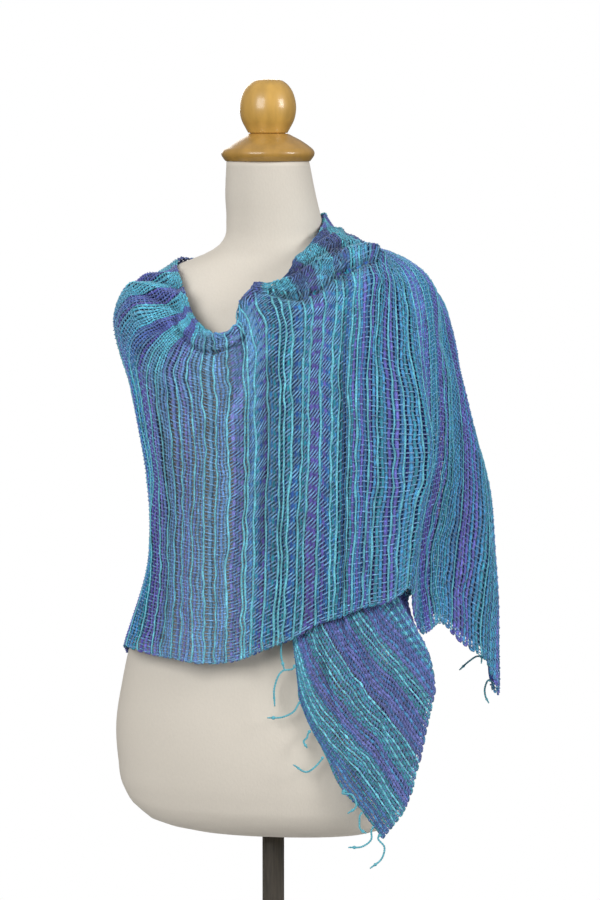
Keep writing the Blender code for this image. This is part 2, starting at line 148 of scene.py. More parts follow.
# Neck cap and knob, millimetres: height above the neck's top, radius
CAP_PROFILE = (
    (0, 50.5), (3.5, 53.2), (7.0, 55.2), (10.0, 55.6), (13.5, 54.0), (17.5, 49.5), (25.0, 38.5), (32.5, 24.2)
)
KNOB_PROFILE = (
    (33, 23.3), (40, 27.2), (47, 30.8), (55, 33.0), (64, 33.7),
    (74, 32.2), (83.6, 28.6), (91, 22.8), (95, 17.0), (97, 9.0)
)

# Ribs of the wrap, each a line of the weave that runs across the scarf, in order from the thrown end to
# the hanging end. Columns, millimetres: inner edge, roll, crest, chest, ribs, waist, hem
RIBS = (
    ("thrown corner edge",
     (113, 94, 937), (145, 98, 925), (184, 94, 891), (216, 94, 787),
     (235, 88, 670), (253, 64, 537), (265, 28, 422)),
    ("thrown back turn",
     (115, 60, 948), (154, 66, 936), (195, 56, 901), (224, 56, 785),
     (260, 50, 662), (271, 28, 536), (274, 8, 419)),
    ("thrown side",
     (110, 50, 956), (150, 22, 941), (194, 14, 909), (220, 10, 804),
     (245, 4, 696), (257, -8, 578), (255, -16, 461)),
    ("arm side",
     (105, 48, 960), (150, 6, 950), (190, -14, 921), (207, -30, 814),
     (220, -36, 707), (222, -46, 598), (224, -52, 493)),
    ("pleat back",
     (100, 46, 962), (141, 0, 952), (176, -30, 926), (194, -58, 816),
     (201, -66, 716), (194, -72, 616), (199, -74, 518)),
    ("pleat inner fold",
     (95, 44, 965), (130, -4, 956), (164, -42, 931), (183, -80, 818),
     (184, -92, 724), (166, -98, 619), (176, -90, 508)),
    ("pleat outer fold",
     (90, 42, 965), (123, -6, 957), (153, -54, 928), (170, -96, 819),
     (185, -112, 726), (172, -124, 640), (162, -126, 566)),
    ("front right",
     (85, 40, 962), (115, -8, 959), (134, -62, 941), (142, -113, 820),
     (149, -125, 728), (144, -131, 640), (140, -130, 552)),
    ("shoulder front",
     (71, 24, 966), (100, -12, 972), (117, -84, 945), (114, -122, 821),
     (116, -130, 728), (113, -134, 635), (109, -132, 545)),
    ("neck side",
     (56, -16, 970), (77, -46, 967), (91, -104, 929), (86, -130, 821),
     (86, -134, 729), (84, -136, 635), (81, -133, 534)),
    ("neck front",
     (32, -66, 950), (48, -84, 945), (60, -117, 914), (56, -133, 822),
     (56, -136, 729), (53, -136, 629), (51, -133, 524)),
    ("cowl right",
     (8, -92, 923), (18, -106, 918), (28, -126, 898), (27, -134, 817),
     (27, -136, 723), (23, -135, 623), (18, -132, 505)),
    ("tuft",
     (-19, -100, 912), (-16, -116, 896), (-9, -126, 877), (-5, -132, 810),
     (-5, -132, 717), (-7, -131, 613), (-12, -131, 493)),
    ("cowl middle",
     (-45, -106, 876), (-44, -116, 867), (-42, -122, 850), (-40, -126, 795),
     (-40, -124, 706), (-41, -123, 598), (-45, -127, 480)),
    ("cowl left",
     (-77, -98, 868), (-78, -106, 859), (-82, -111, 841), (-79, -115, 783),
     (-77, -112, 696), (-78, -110, 590), (-80, -118, 476)),
    ("left chest",
     (-93, -86, 882), (-103, -93, 866), (-120, -96, 840), (-117, -100, 779),
     (-111, -92, 691), (-110, -90, 587), (-114, -101, 479)),
    ("left rib",
     (-100, -70, 898), (-118, -80, 879), (-144, -80, 846), (-144, -82, 778),
     (-134, -72, 689), (-132, -70, 584), (-143, -80, 481)),
    ("left side",
     (-107, -46, 915), (-133, -56, 900), (-165, -52, 872), (-159, -50, 778),
     (-145, -40, 684), (-144, -38, 587), (-171, -44, 485)),
    ("left outline",
     (-113, -22, 929), (-146, -26, 917), (-180, -16, 887), (-166, -10, 779),
     (-149, -4, 680), (-148, 0, 583), (-177, -4, 481)),
    ("left turn",
     (-117, 0, 937), (-152, 8, 922), (-185, 18, 895), (-168, 26, 783),
     (-151, 30, 676), (-148, 34, 583), (-179, 36, 468)),
    ("left back",
     (-112, 26, 938), (-141, 40, 920), (-175, 58, 888), (-162, 68, 780),
     (-148, 70, 672), (-143, 74, 573), (-166, 84, 448)),
    ("back left",
     (-84, 58, 931), (-99, 78, 906), (-119, 98, 868), (-119, 108, 774),
     (-113, 106, 668), (-112, 110, 556), (-119, 122, 422)),
    ("back middle",
     (-36, 74, 931), (-37, 98, 900), (-40, 114, 855), (-42, 121, 761),
     (-42, 117, 660), (-42, 120, 542), (-41, 130, 403)),
    ("back right",
     (11, 77, 943), (18, 98, 908), (27, 115, 865), (34, 121, 771),
     (39, 117, 670), (44, 120, 555), (47, 128, 421)),
    ("nape right",
     (37, 70, 962), (54, 84, 933), (79, 102, 893), (104, 108, 809),
     (121, 104, 713), (135, 104, 607), (146, 106, 494)),
    ("collar",
     (52, 54, 982), (78, 58, 951), (113, 68, 921), (149, 70, 855),
     (171, 66, 775), (183, 62, 690), (191, 58, 594)),
    ("shoulder top",
     (59, 34, 997), (90, 24, 959), (126, 20, 937), (167, 12, 900),
     (186, 4, 826), (191, -2, 747), (188, -12, 666)),
    ("shoulder fall",
     (61, 10, 993), (90, -12, 959), (122, -30, 933), (158, -46, 877),
     (172, -60, 804), (173, -70, 729), (166, -80, 650)),
    ("neck fall",
     (57, -18, 980), (80, -50, 950), (105, -74, 914), (133, -90, 847),
     (147, -96, 770), (152, -100, 688), (155, -101, 596)),
    ("under the panel",
     (47, -50, 953), (61, -82, 919), (79, -102, 866), (102, -111, 787),
     (119, -114, 703), (133, -113, 611), (163, -104, 530)),
    ("widest edge",
     (34, -84, 914), (48, -104, 871), (65, -114, 811), (85, -118, 725),
     (105, -118, 631), (131, -114, 533), (190, -107, 452)),
    ("edge fall",
     (16, -100, 866), (29, -112, 813), (45, -118, 750), (65, -120, 659),
     (86, -120, 560), (122, -117, 465), (177, -111, 381)),
    ("last band",
     (-4, -108, 799), (9, -115, 748), (25, -119, 685), (43, -121, 596),
     (63, -122, 494), (101, -121, 397), (158, -115, 308)),
    ("fringed edge",
     (-24, -110, 724), (-12, -115, 661), (3, -119, 588), (23, -121, 504),
     (35, -123, 419), (76, -123, 338), (130, -119, 268)),
)

# Where one stretch of the wrap ends and the next starts, as places in the table of ribs
STRETCHES = (
    ("thrown_end", 0.0, 5.0, 18),
    ("front_stretch", 5.0, 18.6, 40),
    ("back_stretch", 18.6, 25.7, 24),
    ("hanging_end", 25.7, 33.0, 27),
)

RIB_NUMBERS = np.arange(len(RIBS))

# Main folds: from rib, from share of the width, to rib, to share of the width, height mm, spread mm
FOLDS = (
    (7.6, 0.10, 12.4, 0.045, 6.0, 9.0),
    (7.2, 0.20, 11.2, 0.120, 7.0, 10.0),
    (13.0, 0.06, 15.2, 0.20, 4.0, 10.0),
    (15.0, 0.02, 17.6, 0.16, 4.5, 10.0),
    (16.4, 0.02, 17.6, 0.20, 3.0, 9.0),
    (8.2, 0.30, 8.8, 0.98, 4.0, 16.0),
    (10.6, 0.25, 10.2, 0.98, 4.5, 18.0),
    (12.4, 0.30, 12.8, 0.98, 4.0, 16.0),
    (14.2, 0.55, 14.5, 1.00, 5.0, 14.0),
    (16.6, 0.62, 16.8, 1.00, 6.0, 14.0),
    (1.9, 0.30, 2.2, 1.00, 5.0, 14.0),
    (20.3, 0.25, 20.5, 1.00, 7.0, 18.0),
    (22.0, 0.20, 22.2, 1.00, 8.0, 20.0),
    (23.4, 0.22, 23.6, 1.00, 7.0, 18.0),
    (24.3, 0.10, 24.8, 1.00, 6.0, 16.0),
    (32.2, 0.30, 31.9, 0.72, 5.0, 10.0),
    (30.4, 0.35, 31.2, 0.98, 5.0, 14.0),
    (28.6, 0.40, 29.6, 1.00, 4.0, 14.0),
)

# Small creases and rolls, in the same columns
CREASES = (
    (11.6, 0.035, 10.85, 0.107, -8.0, 3.6),
    (10.85, 0.107, 8.0, 0.237, -9.0, 4.0),
    (11.2, 0.015, 10.0, 0.085, 6.0, 4.5),
    (10.0, 0.085, 7.8, 0.205, 7.0, 5.0),
    (10.6, 0.016, 9.4, 0.080, -7.0, 3.6),
    (9.4, 0.080, 7.8, 0.155, -7.0, 4.0),
    (10.2, 0.000, 7.8, 0.100, 5.0, 5.0),
    (10.9, 0.150, 8.0, 0.290, 5.0, 7.0),
    (11.85, 0.000, 12.3, 0.030, 8.0, 5.0),
    (12.3, 0.020, 12.9, 0.046, 6.0, 3.6),
    (12.9, 0.046, 13.6, 0.040, 6.0, 3.6),
    (13.6, 0.040, 14.3, 0.014, 6.0, 3.6),
    (14.3, 0.014, 16.4, 0.014, 6.0, 3.6),
    (12.6, 0.082, 13.6, 0.080, -6.0, 4.0),
    (13.6, 0.080, 15.8, 0.055, -6.0, 4.0),
    (16.6, 0.125, 20.5, 0.120, 4.5, 14.0),
    (12.4, 0.090, 13.2, 0.300, 3.0, 8.0),
    (14.6, 0.03, 16.9, 0.13, 4.0, 5.0),
    (15.3, 0.01, 17.9, 0.11, -4.0, 4.5),
    (16.2, 0.01, 18.6, 0.11, 4.5, 5.0),
    (17.0, 0.01, 19.2, 0.10, -4.0, 4.5),
    (17.6, 0.01, 19.8, 0.10, 3.5, 6.0),
    (9.2, 0.30, 9.0, 0.96, -3.5, 7.0),
    (11.3, 0.20, 11.1, 0.90, 3.2, 7.0),
    (12.0, 0.22, 12.2, 0.75, -3.5, 7.0),
    (13.3, 0.25, 13.4, 0.90, 2.5, 8.0),
    (15.4, 0.25, 15.6, 0.95, -2.5, 9.0),
    (17.2, 0.30, 17.4, 0.98, 2.5, 9.0),
    (21.0, 0.20, 21.2, 0.98, 3.0, 12.0),
    (22.8, 0.20, 23.0, 0.98, 3.0, 12.0),
    (30.9, 0.50, 32.0, 0.98, 3.0, 7.0),
    (31.7, 0.45, 32.6, 0.92, 3.5, 7.0),
    (32.3, 0.25, 31.8, 0.55, -4.0, 5.0),
    (32.7, 0.15, 32.4, 0.50, 4.0, 6.0),
    (31.2, 0.40, 32.9, 0.30, 3.0, 6.0),
    (31.4, 0.47, 32.9, 0.40, -3.0, 5.0),
    (31.6, 0.55, 32.9, 0.50, 3.0, 6.0),
)

# Where the cloth settles closer to the shoulder, in the same columns
SETTLED = (
    (2.1, 0.10, 2.9, 0.34, -8.0, 26.0),
    (8.5, 0.07, 7.5, 0.12, -9.0, 11.0),
    (5.8, 0.06, 4.0, 0.09, -9.0, 16.0),
    (18.8, 0.02, 19.4, 0.03, -6.0, 14.0),
)

# Where the cloth lies double: the piece, from place, to place, from share, to share, and the solid that it
# belongs to
UNDER_LAYERS = (
    ("thrown_end_under", 0.15, 4.98, 0.005, 0.982, "thrown_end"),
    ("pleat_under", 4.4, 12.2, 0.005, 0.982, "front_stretch"),
    ("hanging_end_under", 29.0, 32.6, 0.84, 0.992, "hanging_end"),
    ("neckline_under", 12.2, 14.6, 0.010, 0.10, "front_stretch"),
    ("side_under", 15.9, 18.5, 0.180, 0.975, "front_stretch"),
    ("shoulder_under", 14.6, 21.6, 0.010, 0.27, "back_stretch"),
)

# How the weave is drawn out of square, each by place: how tightly the warps gather at the neckline, how
# far they slide down the cloth in millimetres, and how far the wefts lean at the side and at the shoulder
# in millimetres
GATHER = (
    (0, 0.5), (6, 0.7), (8, 1.0), (12, 1.0), (13.5, 0.6), (20, 0.8), (22, 0.3),
    (25, 0.8), (26.5, 0.7), (33, 0.2)
)
SLIDE = (
    (0, -6), (3, -22), (5, -16), (6, 12), (7, 11), (8, 10), (9, -12), (10.2, -10), (12.6, 15), (14.0, 17),
    (16, 34), (18, 46), (20, 36), (22, 8), (24, 8), (28, -6), (30, 6), (33, -4)
)
SIDE_LEAN = ((0, 0), (1, 30), (2.5, 46), (4, 24), (5.1, 0))
SHOULDER_LEAN = ((14.4, 0), (17.5, 62), (19.2, 62), (21.5, 0))

# How closely the wefts bunch along the last edge, in metres, and the share of the width that is rolled in
# at the lowest part of the neckline
BUNCH = 0.014
NECK_EDGE = ((12.15, 0), (12.6, 0.030), (13.4, 0.030), (14.1, 0))

# How far down the width the cloth lies gathered with its bands of colour pressed together, and the length
# of one such band in metres
GATHERED = ((7.6, 0.23), (10.85, 0.10), (11.7, 0.03), (14.3, 0.03), (15.2, 0.20), (20.0, 0.20), (21.5, 0.02))
GATHERED_BAND = 0.058

# The width of the wefts in millimetres, and the places between which the warps pass over two at a time
WEFT_WIDTHS = (
    (0, 2.9), (5, 2.7), (8.6, 2.6), (9.6, 2.5), (12, 2.5), (12.8, 2.0), (16, 2.0), (18.6, 2.5), (28, 2.6),
    (29.5, 3.3), (33, 3.3)
)
FLOATS = (9.2, 13.2)

# How much brighter the yarns are painted by place, as painted light where the cloth gets less light, the most
# that a bright cord is brightened, and how much softer and paler the yarns are, by place; where the hanging
# end starts, how much darker a yarn is painted in a crease as painted shade, between which tones (a ridge is
# painted lighter, as painted highlight), and how much darker it is painted where it dips, as painted shade
BRIGHT_PAINTED_LIGHT_LIFT = 1.12
PAINTED_LIGHT_LIFT = (
    (0, 1.50), (5, 1.35), (8.5, 1.15), (10, 1.0), (12.0, 1.0), (13.2, 1.35), (16, 1.35), (18.5, 1.2),
    (33, 1.15)
)
SOFTNESS = (
    (0, 0.4), (8, 0.4), (9.6, 0), (12.2, 0), (13.0, 0.4), (15.4, 0.4), (16.2, 0), (28, 0), (29.5, 0.22)
)
HANGING_FROM = 28.5
CREASE_PAINTED_SHADE = 70.0
CREASE_PAINTED_SHADE_LIMITS = (0.40, 1.12)
DIP_PAINTED_SHADE = 0.22

# How uneven the yarns are in tone, in long stretches and from point to point; how much of a pressed band
# the yarns show, and how much the warps take on of the band that they cross
WEFT_TONES = (0.20, 0.20)
WARP_TONES = (0.20, 0.16)
PRESSED_WEFT = 0.85
PRESSED_WARP = 0.75
BAND_ON_WARP = 0.35

# The closer nets inside the outer one: how far inside, their spacing, warps across the full width, and how
# much of the width their ragged edge takes
UNDER_DEPTH = 0.0036
UNDER_PITCH = 0.0030
UNDER_WARPS = 58
UNDER_RAGGED = 0.25

# Bands of the weave: the places where each kind starts
BAND_STARTS = {
    "turquoise": (0, 1, 2.45, 3.95, 5.8, 7.35, 8.8, 10.5, 11.2, 12.3, 13.2, 14.7, 16.4, 18, 19.3, 20.4,
        21.35, 22.3, 23.2, 24, 24.8, 25.8, 27, 28.2, 29.35),
    "purple": (0.45, 1.75, 3.05, 4.85, 6.8, 7.95, 9.75, 11.9, 12.9, 14.2, 15.75, 17.2, 18.7, 19.9,
        20.9, 21.85, 22.75, 23.6, 24.4, 25.3, 26.4, 27.6, 28.8),
    "deep": (29.95, 30.75, 31.75),
    "green": (30.3, 31.25, 32.1),
    "blue": (32.6,),
}
BANDS = sorted((place, kind) for kind, places in BAND_STARTS.items() for place in places)

# The order of the yarns inside each kind of band
BAND_YARNS = {
    "turquoise": ("bright", "teal", "sky", "bright", "blue", "teal", "sky"),
    "purple": ("purple", "violet", "blue", "violet", "sky", "purple", "violet"),
    "blue": ("blue", "sky", "blue", "teal"),
    "green": ("bright", "teal", "teal", "bright", "teal"),
    "deep": ("violet", "blue", "purple", "sky", "violet"),
}

# The bright cords of the front, as millimetres along the flat scarf
FRONT_BRIGHTS = (
    104, 127, 136, 148, 170, 188, 207, 222,
    237, 251, 260, 278, 289, 307, 319, 337, 348, 369, 390, 401, 417, 425, 431, 447, 465, 476, 481,
    502, 517, 531, 546, 563, 576, 590, 604, 622, 640,
)

# Yarn colours, each red, green and blue as shown on a screen
YARN_COLOURS = {
    "bright": (104, 190, 206),
    "teal": (28, 124, 146),
    "sky": (48, 120, 174),
    "blue": (34, 78, 146),
    "purple": (70, 64, 144),
    "violet": (90, 84, 166),
    "warp": (114, 160, 204),
    "hanging warp": (104, 108, 180),
    "soft purple": (96, 106, 178),
    "soft turquoise": (72, 140, 168),
    "soft hanging end": (104, 146, 158),
    "soft front": (128, 140, 186),
    "pressed turquoise": (86, 184, 204),
    "pressed purple": (84, 84, 168),
}

# Cords of the fringe, millimetres from the root: share of the width, then sideways and up at the first
# third, the second third and the tip, and how far the tip comes forward
FRONT_CORDS = (
    (0.04, -8, -14, -9, -32, -6, -52, 2),
    (0.13, -8, -15, -12, -33, -10, -54, 2),
    (0.23, -8, -13, -10, -31, -6, -51, 2),
    (0.33, -9, -13, -13, -31, -12, -50, 2),
    (0.43, -8, -13, -10, -30, -6, -50, 2),
    (0.52, -15, -7, -24, -25, -24, -48, 6),
    (0.61, -6, -10, -19, -17, -38, -18, 6),
    (0.685, -3, -7, -7, -11, -3, -19, 5),
    (0.755, -8, -10, -19, -17, -35, -8, 6),
    (0.85, 9, -5, 14, -19, 4, -27, 5),
    (0.92, -3, -10, -2, -19, 5, -24, 4),
    (0.965, -3, -15, -13, -23, -30, -24, 4),
    (0.99, 5, -15, 2, -28, -12, -40, 3),
)
BACK_CORDS = (
    (0.05, 3, -14, 5, -32, 4, -52, -3),
    (0.15, 4, -15, 7, -33, 9, -53, -3),
    (0.25, 3, -14, 5, -32, 3, -51, -3),
    (0.35, 4, -14, 7, -32, 8, -53, -3),
    (0.46, 3, -15, 4, -33, 2, -53, -3),
    (0.56, 3, -14, 5, -32, 7, -52, -3),
    (0.66, 2, -14, 3, -32, 1, -51, -3),
    (0.76, 2, -15, 4, -33, 6, -53, -3),
    (0.86, 1, -14, -1, -31, -3, -50, -3),
    (0.94, -13, 5, -23, -1, -35, -12, 0),
    (0.985, -7, -9, -6, -19, -2, -27, 0),
)


def screen(red, green, blue):
    """A screen colour as linear values."""
    values = np.array([red, green, blue], float) / 255
    return tuple(np.where(values <= 0.04045, values / 12.92, ((values + 0.055) / 1.055) ** 2.4))


def yarn_colour(kind):
    """The linear colour of one kind of yarn."""
    return screen(*YARN_COLOURS[kind])


def read_curve(knots, values, places):
    """A smooth curve through rows of values at rising knots, read at the given places."""
    knots = np.asarray(knots, float)
    values = np.asarray(values, float)
    places = np.asarray(places, float)
    slopes = np.gradient(values, knots, axis=0)
    left = np.clip(np.searchsorted(knots, places) - 1, 0, len(knots) - 2)
    span = (knots[left + 1] - knots[left]).reshape((-1,) + (1,) * (values.ndim - 1))
    t = (places - knots[left]).reshape(span.shape) / span
    start = (1 + 2 * t) * (1 - t) ** 2 * values[left] + t * (1 - t) ** 2 * span * slopes[left]
    end = t * t * (3 - 2 * t) * values[left + 1] + t * t * (t - 1) * span * slopes[left + 1]
    return start + end


def summed(steps):
    """The sum before each step and after the last."""
    return np.concatenate([[0.0], np.cumsum(steps)])


def unit(vectors):
    """The same directions with a length of one."""
    return vectors / np.linalg.norm(vectors, axis=-1, keepdims=True)


def lengths_along(points):
    """The distance from the first point to each point of a line."""
    return summed(np.linalg.norm(np.diff(points, axis=0), axis=1))


def rib_points(stations, shares):
    """Points of one rib at even shares of its own length."""
    stations = np.asarray(stations, float) * MM
    fine = read_curve(lengths_along(stations), stations, np.linspace(0, lengths_along(stations)[-1], 160))
    distance = lengths_along(fine)
    wanted = np.asarray(shares) * distance[-1]
    return np.stack([np.interp(wanted, distance, fine[:, axis]) for axis in range(3)], axis=1)


def knots_at(knots, places):
    """The lengths along the flat scarf at places in the table of ribs."""
    return np.interp(places, RIB_NUMBERS, knots)


def places_at(knots, lengths):
    """The places in the table of ribs at lengths along the flat scarf."""
    return np.interp(lengths, knots, RIB_NUMBERS)


def read_table(table, places):
    """A table of places and values, read between its rows."""
    return np.interp(places, *zip(*table))


def read_along(table, knots, lengths, outside=None):
    """The same, read at lengths along the flat scarf."""
    starts, values = zip(*table)
    return np.interp(lengths, knots_at(knots, starts), values, outside, outside)


def wrap_points(places, shares):
    """Points of the wrap at places in the table of ribs and at shares of its width."""
    ribs = np.array([rib_points(row[1:], shares) for row in RIBS])
    knots = summed(np.linalg.norm(np.diff(ribs, axis=0), axis=2).mean(axis=1))
    return read_curve(knots, ribs, knots_at(knots, places)), knots


def grid_normals(points):
    """Unit normals of a grid of points, on the side away from the form."""
    along = np.gradient(points, axis=0)
    across = np.gradient(points, axis=1)
    return unit(np.cross(along, across))


def distance_to_line(along, across, start, end):
    """Distance from points of the flat scarf to a straight line on it."""
    line = np.subtract(end, start)
    size = float(np.hypot(*line))
    share = ((along - start[0]) * line[0] + (across - start[1]) * line[1]) / (size * size)
    held = np.clip(share, 0, 1)
    return np.hypot(along - start[0] - held * line[0], across - start[1] - held * line[1])


def fold_heights(folds, places, shares, knots):
    """How far a table of folds lifts each point of the grid, in metres."""
    along = knots_at(knots, places)[:, None] + 0 * shares[None, :]
    across = shares[None, :] * SCARF_WIDTH + 0 * places[:, None]
    lift = np.zeros(along.shape)
    for from_rib, from_share, to_rib, to_share, height, spread in folds:
        start = (knots_at(knots, from_rib), from_share * SCARF_WIDTH)
        end = (knots_at(knots, to_rib), to_share * SCARF_WIDTH)
        gap = distance_to_line(along, across, start, end)
        lift += height * MM * np.exp(-((gap / (spread * MM)) ** 2))
    return lift


def form_ring(height, steps):
    """One level section of the form, as points round it."""
    table = np.array(FORM_SECTIONS, float) * MM
    half, front, back, side, rear = read_curve(table[:, 0], table[:, 1:], [height])[0]
    turn = np.linspace(0, 2 * math.pi, steps, endpoint=False)
    depth = np.where(np.sin(turn) < 0, front, back)
    x = half * np.sign(np.cos(turn)) * np.abs(np.cos(turn)) ** 0.92 + side
    y = depth * np.sign(np.sin(turn)) * np.abs(np.sin(turn)) ** 0.92 + rear
    cosine, sine = math.cos(FORM_TURN), math.sin(FORM_TURN)
    return np.stack([x * cosine + y * sine, -x * sine + y * cosine, 0 * x + height + FORM_BOTTOM], axis=1)


def grid_tube_faces(rings, steps):
    """Faces of a closed tube of rings with flat ends, facing out."""
    faces = []
    for ring in range(rings - 1):
        for step in range(steps):
            after = (step + 1) % steps
            low, high = ring * steps, (ring + 1) * steps
            faces.append((low + step, low + after, high + after, high + step))
    faces.append(tuple(range(steps - 1, -1, -1)))
    faces.append(tuple((rings - 1) * steps + step for step in range(steps)))
    return faces


def smooth_profile(profile, count):
    """A turned profile in metres with evenly spaced points."""
    table = np.array(profile, float) * MM
    distance = lengths_along(table)
    return read_curve(distance, table, np.linspace(0, distance[-1], count))


def keep_outside(points, tree, clearance, reach, flat_only):
    """Moves each point out along the nearest face's normal until it is clear of the surface."""
    moved = points.copy()
    for row in range(points.shape[0]):
        for column in range(points.shape[1]):
            place, normal, _, distance = tree.find_nearest(Vector(points[row, column]))
            if place is None or distance > reach:
                continue
            offset = Vector(points[row, column]) - place
            height = offset.dot(normal)
            aside = (offset - height * normal).length
            if height < clearance and (not flat_only or aside < 0.004):
                moved[row, column] = place + normal * clearance
    return moved


def soften(points, before, passes):
    """Spreads what the last move changed over the neighbours, so that no step is left."""
    change = points - before
    for _ in range(passes):
        padded = np.pad(change, ((1, 1), (1, 1), (0, 0)), mode="edge")
        near = padded[:-2, 1:-1] + padded[2:, 1:-1] + padded[1:-1, :-2] + padded[1:-1, 2:]
        change = 0.5 * change + 0.125 * near
    return before + change


def lay_clear(points, tree, clearance, reach, flat_only):
    """Lays points clear of a surface, in three softened passes and a last plain one."""
    for _ in range(3):
        points = soften(keep_outside(points, tree, clearance, reach, flat_only), points, 2)
    return keep_outside(points, tree, clearance, reach, flat_only)


def sheet_tree(points):
    """A search tree of a grid surface whose faces look away from the form."""
    rows, columns = points.shape[:2]
    flat = points.reshape(-1, 3)
    faces = []
    for row in range(rows - 1):
        for column in range(columns - 1):
            low = row * columns + column
            faces.append((low, low + columns, low + columns + 1, low + 1))
    return BVHTree.FromPolygons([Vector(point) for point in flat], faces)


def smooth_field(random, rows, columns, row_cells, column_cells):
    """A smooth random field from -1 to 1, with about that many cells each way."""
    values = random.uniform(-1, 1, (row_cells + 3, column_cells + 3))
    across = read_curve(np.arange(column_cells + 3), values.T, np.linspace(1, column_cells + 1, columns)).T
    return read_curve(np.arange(row_cells + 3), across, np.linspace(1, row_cells + 1, rows))


def read_grid(grid, rows, columns):
    """A grid read between its points, at fractional rows and columns."""
    rows = np.clip(rows, 0, grid.shape[0] - 1.001)
    columns = np.clip(columns, 0, grid.shape[1] - 1.001)
    low_row = rows.astype(int)
    low_column = columns.astype(int)
    down = (rows - low_row)[..., None]
    over = (columns - low_column)[..., None]
    near = grid[low_row, low_column] * (1 - over) + grid[low_row, low_column + 1] * over
    far = grid[low_row + 1, low_column] * (1 - over) + grid[low_row + 1, low_column + 1] * over
    return near * (1 - down) + far * down


def placed(name, data):
    """A new object of the scene that shows the given data."""
    made = bpy.data.objects.new(name, data)
    bpy.context.scene.collection.objects.link(made)
    return made


def mesh_object(name, points, quads, ends, material):
    """A smooth mesh object of quads and end faces, given as arrays of corner numbers."""
    corners = np.concatenate([quads.reshape(-1), ends.reshape(-1)])
    end_starts = len(quads) * 4 + np.arange(len(ends)) * ends.shape[1]
    starts = np.concatenate([np.arange(len(quads)) * 4, end_starts])
    mesh = bpy.data.meshes.new(name)
    mesh.vertices.add(len(points))
    mesh.vertices.foreach_set("co", points.astype(np.float32).reshape(-1))
    mesh.loops.add(len(corners))
    mesh.loops.foreach_set("vertex_index", corners.astype(np.int32))
    mesh.polygons.add(len(starts))
    mesh.polygons.foreach_set("loop_start", starts.astype(np.int32))
    mesh.update(calc_edges=True)
    mesh.polygons.foreach_set("use_smooth", np.ones(len(starts), bool))
    mesh.materials.append(material)
    return placed(name, mesh)


def solid_object(name, points, faces, material):
    """A smooth closed solid of points and faces."""
    mesh = bpy.data.meshes.new(name)
    mesh.from_pydata([tuple(map(float, point)) for point in points], [], faces)
    mesh.validate()
    mesh.materials.append(material)
    mesh.shade_smooth()
    return placed(name, mesh)


def yarn_tubes(paths, ups, half_width, half_height, sides):
    """Closed tubes along rows of points, whose ups point out of the cloth: points, side and end faces."""
    count, length = paths.shape[:2]
    ahead = unit(np.gradient(paths, axis=1))
    aside = unit(np.cross(ahead, ups))
    out = np.cross(aside, ahead)
    turn = math.pi / 2 + 2 * math.pi * np.arange(sides) / sides
    wide = (aside * half_width[..., None])[:, :, None, :] * np.cos(turn)[None, None, :, None]
    high = (out * half_height[..., None])[:, :, None, :] * np.sin(turn)[None, None, :, None]
    points = (paths[:, :, None, :] + wide + high).reshape(-1, 3)
    yarn = np.arange(count)[:, None, None] * length * sides
    step = np.arange(length - 1)[None, :, None] * sides
    side = np.arange(sides)[None, None, :]
    after = (side + 1) % sides
    quads = np.stack([
        yarn + step + side, yarn + step + after, yarn + step + sides + after, yarn + step + sides + side,
    ], axis=-1).reshape(-1, 4)
    first = (np.arange(count)[:, None] * length * sides + np.arange(sides)[None, ::-1])
    last = (np.arange(count)[:, None] * length * sides + (length - 1) * sides + np.arange(sides)[None, :])
    return points, quads, first, last


def tube_map(count, length, sides, row_from, rows):
    """Places on the yarn map for the corners of the side faces: one row for each yarn."""
    yarn = np.arange(count)[:, None, None, None] + row_from
    step = np.arange(length - 1)[None, :, None, None] + np.array([0, 0, 1, 1])[None, None, None, :]
    side = np.arange(sides)[None, None, :, None] + np.array([0, 1, 1, 0])[None, None, None, :]
    along = np.broadcast_to(step / (length - 1), (count, length - 1, sides, 4))
    around = np.broadcast_to((yarn + 0.08 + 0.84 * side / sides) / rows, (count, length - 1, sides, 4))
    return np.stack([along, around], axis=-1).reshape(-1, 2)


def yarn_net(name, wefts, warps, weft_colours, warp_colours, material):
    """A mesh of wefts and warps, each given as paths, outward directions, half widths and half heights."""
    points_a, quads_a, first_a, last_a = yarn_tubes(*wefts, WEFT_SIDES)
    points_b, quads_b, first_b, last_b = yarn_tubes(*warps, WARP_SIDES)
    shift = len(points_a)
    quads = np.concatenate([quads_a, quads_b + shift, first_a, last_a])
    ends = np.concatenate([first_b, last_b]) + shift
    made = mesh_object(name, np.concatenate([points_a, points_b]), quads, ends, material)
    colours = np.ones((shift + len(points_b), 4), np.float32)
    colours[:shift, :3] = np.repeat(weft_colours.reshape(-1, 3), WEFT_SIDES, axis=0)
    colours[shift:, :3] = np.repeat(warp_colours.reshape(-1, 3), WARP_SIDES, axis=0)
    layer = made.data.attributes.new("yarn_colour", "FLOAT_COLOR", "POINT")
    layer.data.foreach_set("color", colours.reshape(-1))
    return made


def draped_cloth(form_tree):
    """The coarse grid of the wrap, laid as the solids are, its rows' lengths and those of the ribs."""
    shares = np.linspace(0, 1, ACROSS)
    _, knots = wrap_points(np.array([0.0]), shares)
    places = []
    for _, first, last, count in STRETCHES:
        row_places = places_at(knots, np.linspace(knots_at(knots, first), knots_at(knots, last), count))
        places.extend(row_places if not places else row_places[1:])
    places = np.array(places)
    sheet, _ = wrap_points(places, shares)
    sheet = sheet + grid_normals(sheet) * fold_heights(FOLDS, places, shares, knots)[:, :, None]
    sheet = lay_clear(sheet, form_tree, FORM_CLEARANCE, FORM_REACH, False)
    lower, upper = np.searchsorted(places, (LOWER_FROM, UPPER_TO))
    sheet[:upper] = lay_clear(sheet[:upper], sheet_tree(sheet[lower:]), LAYER_CLEARANCE, LAYER_REACH, True)
    return sheet, knots_at(knots, places), knots


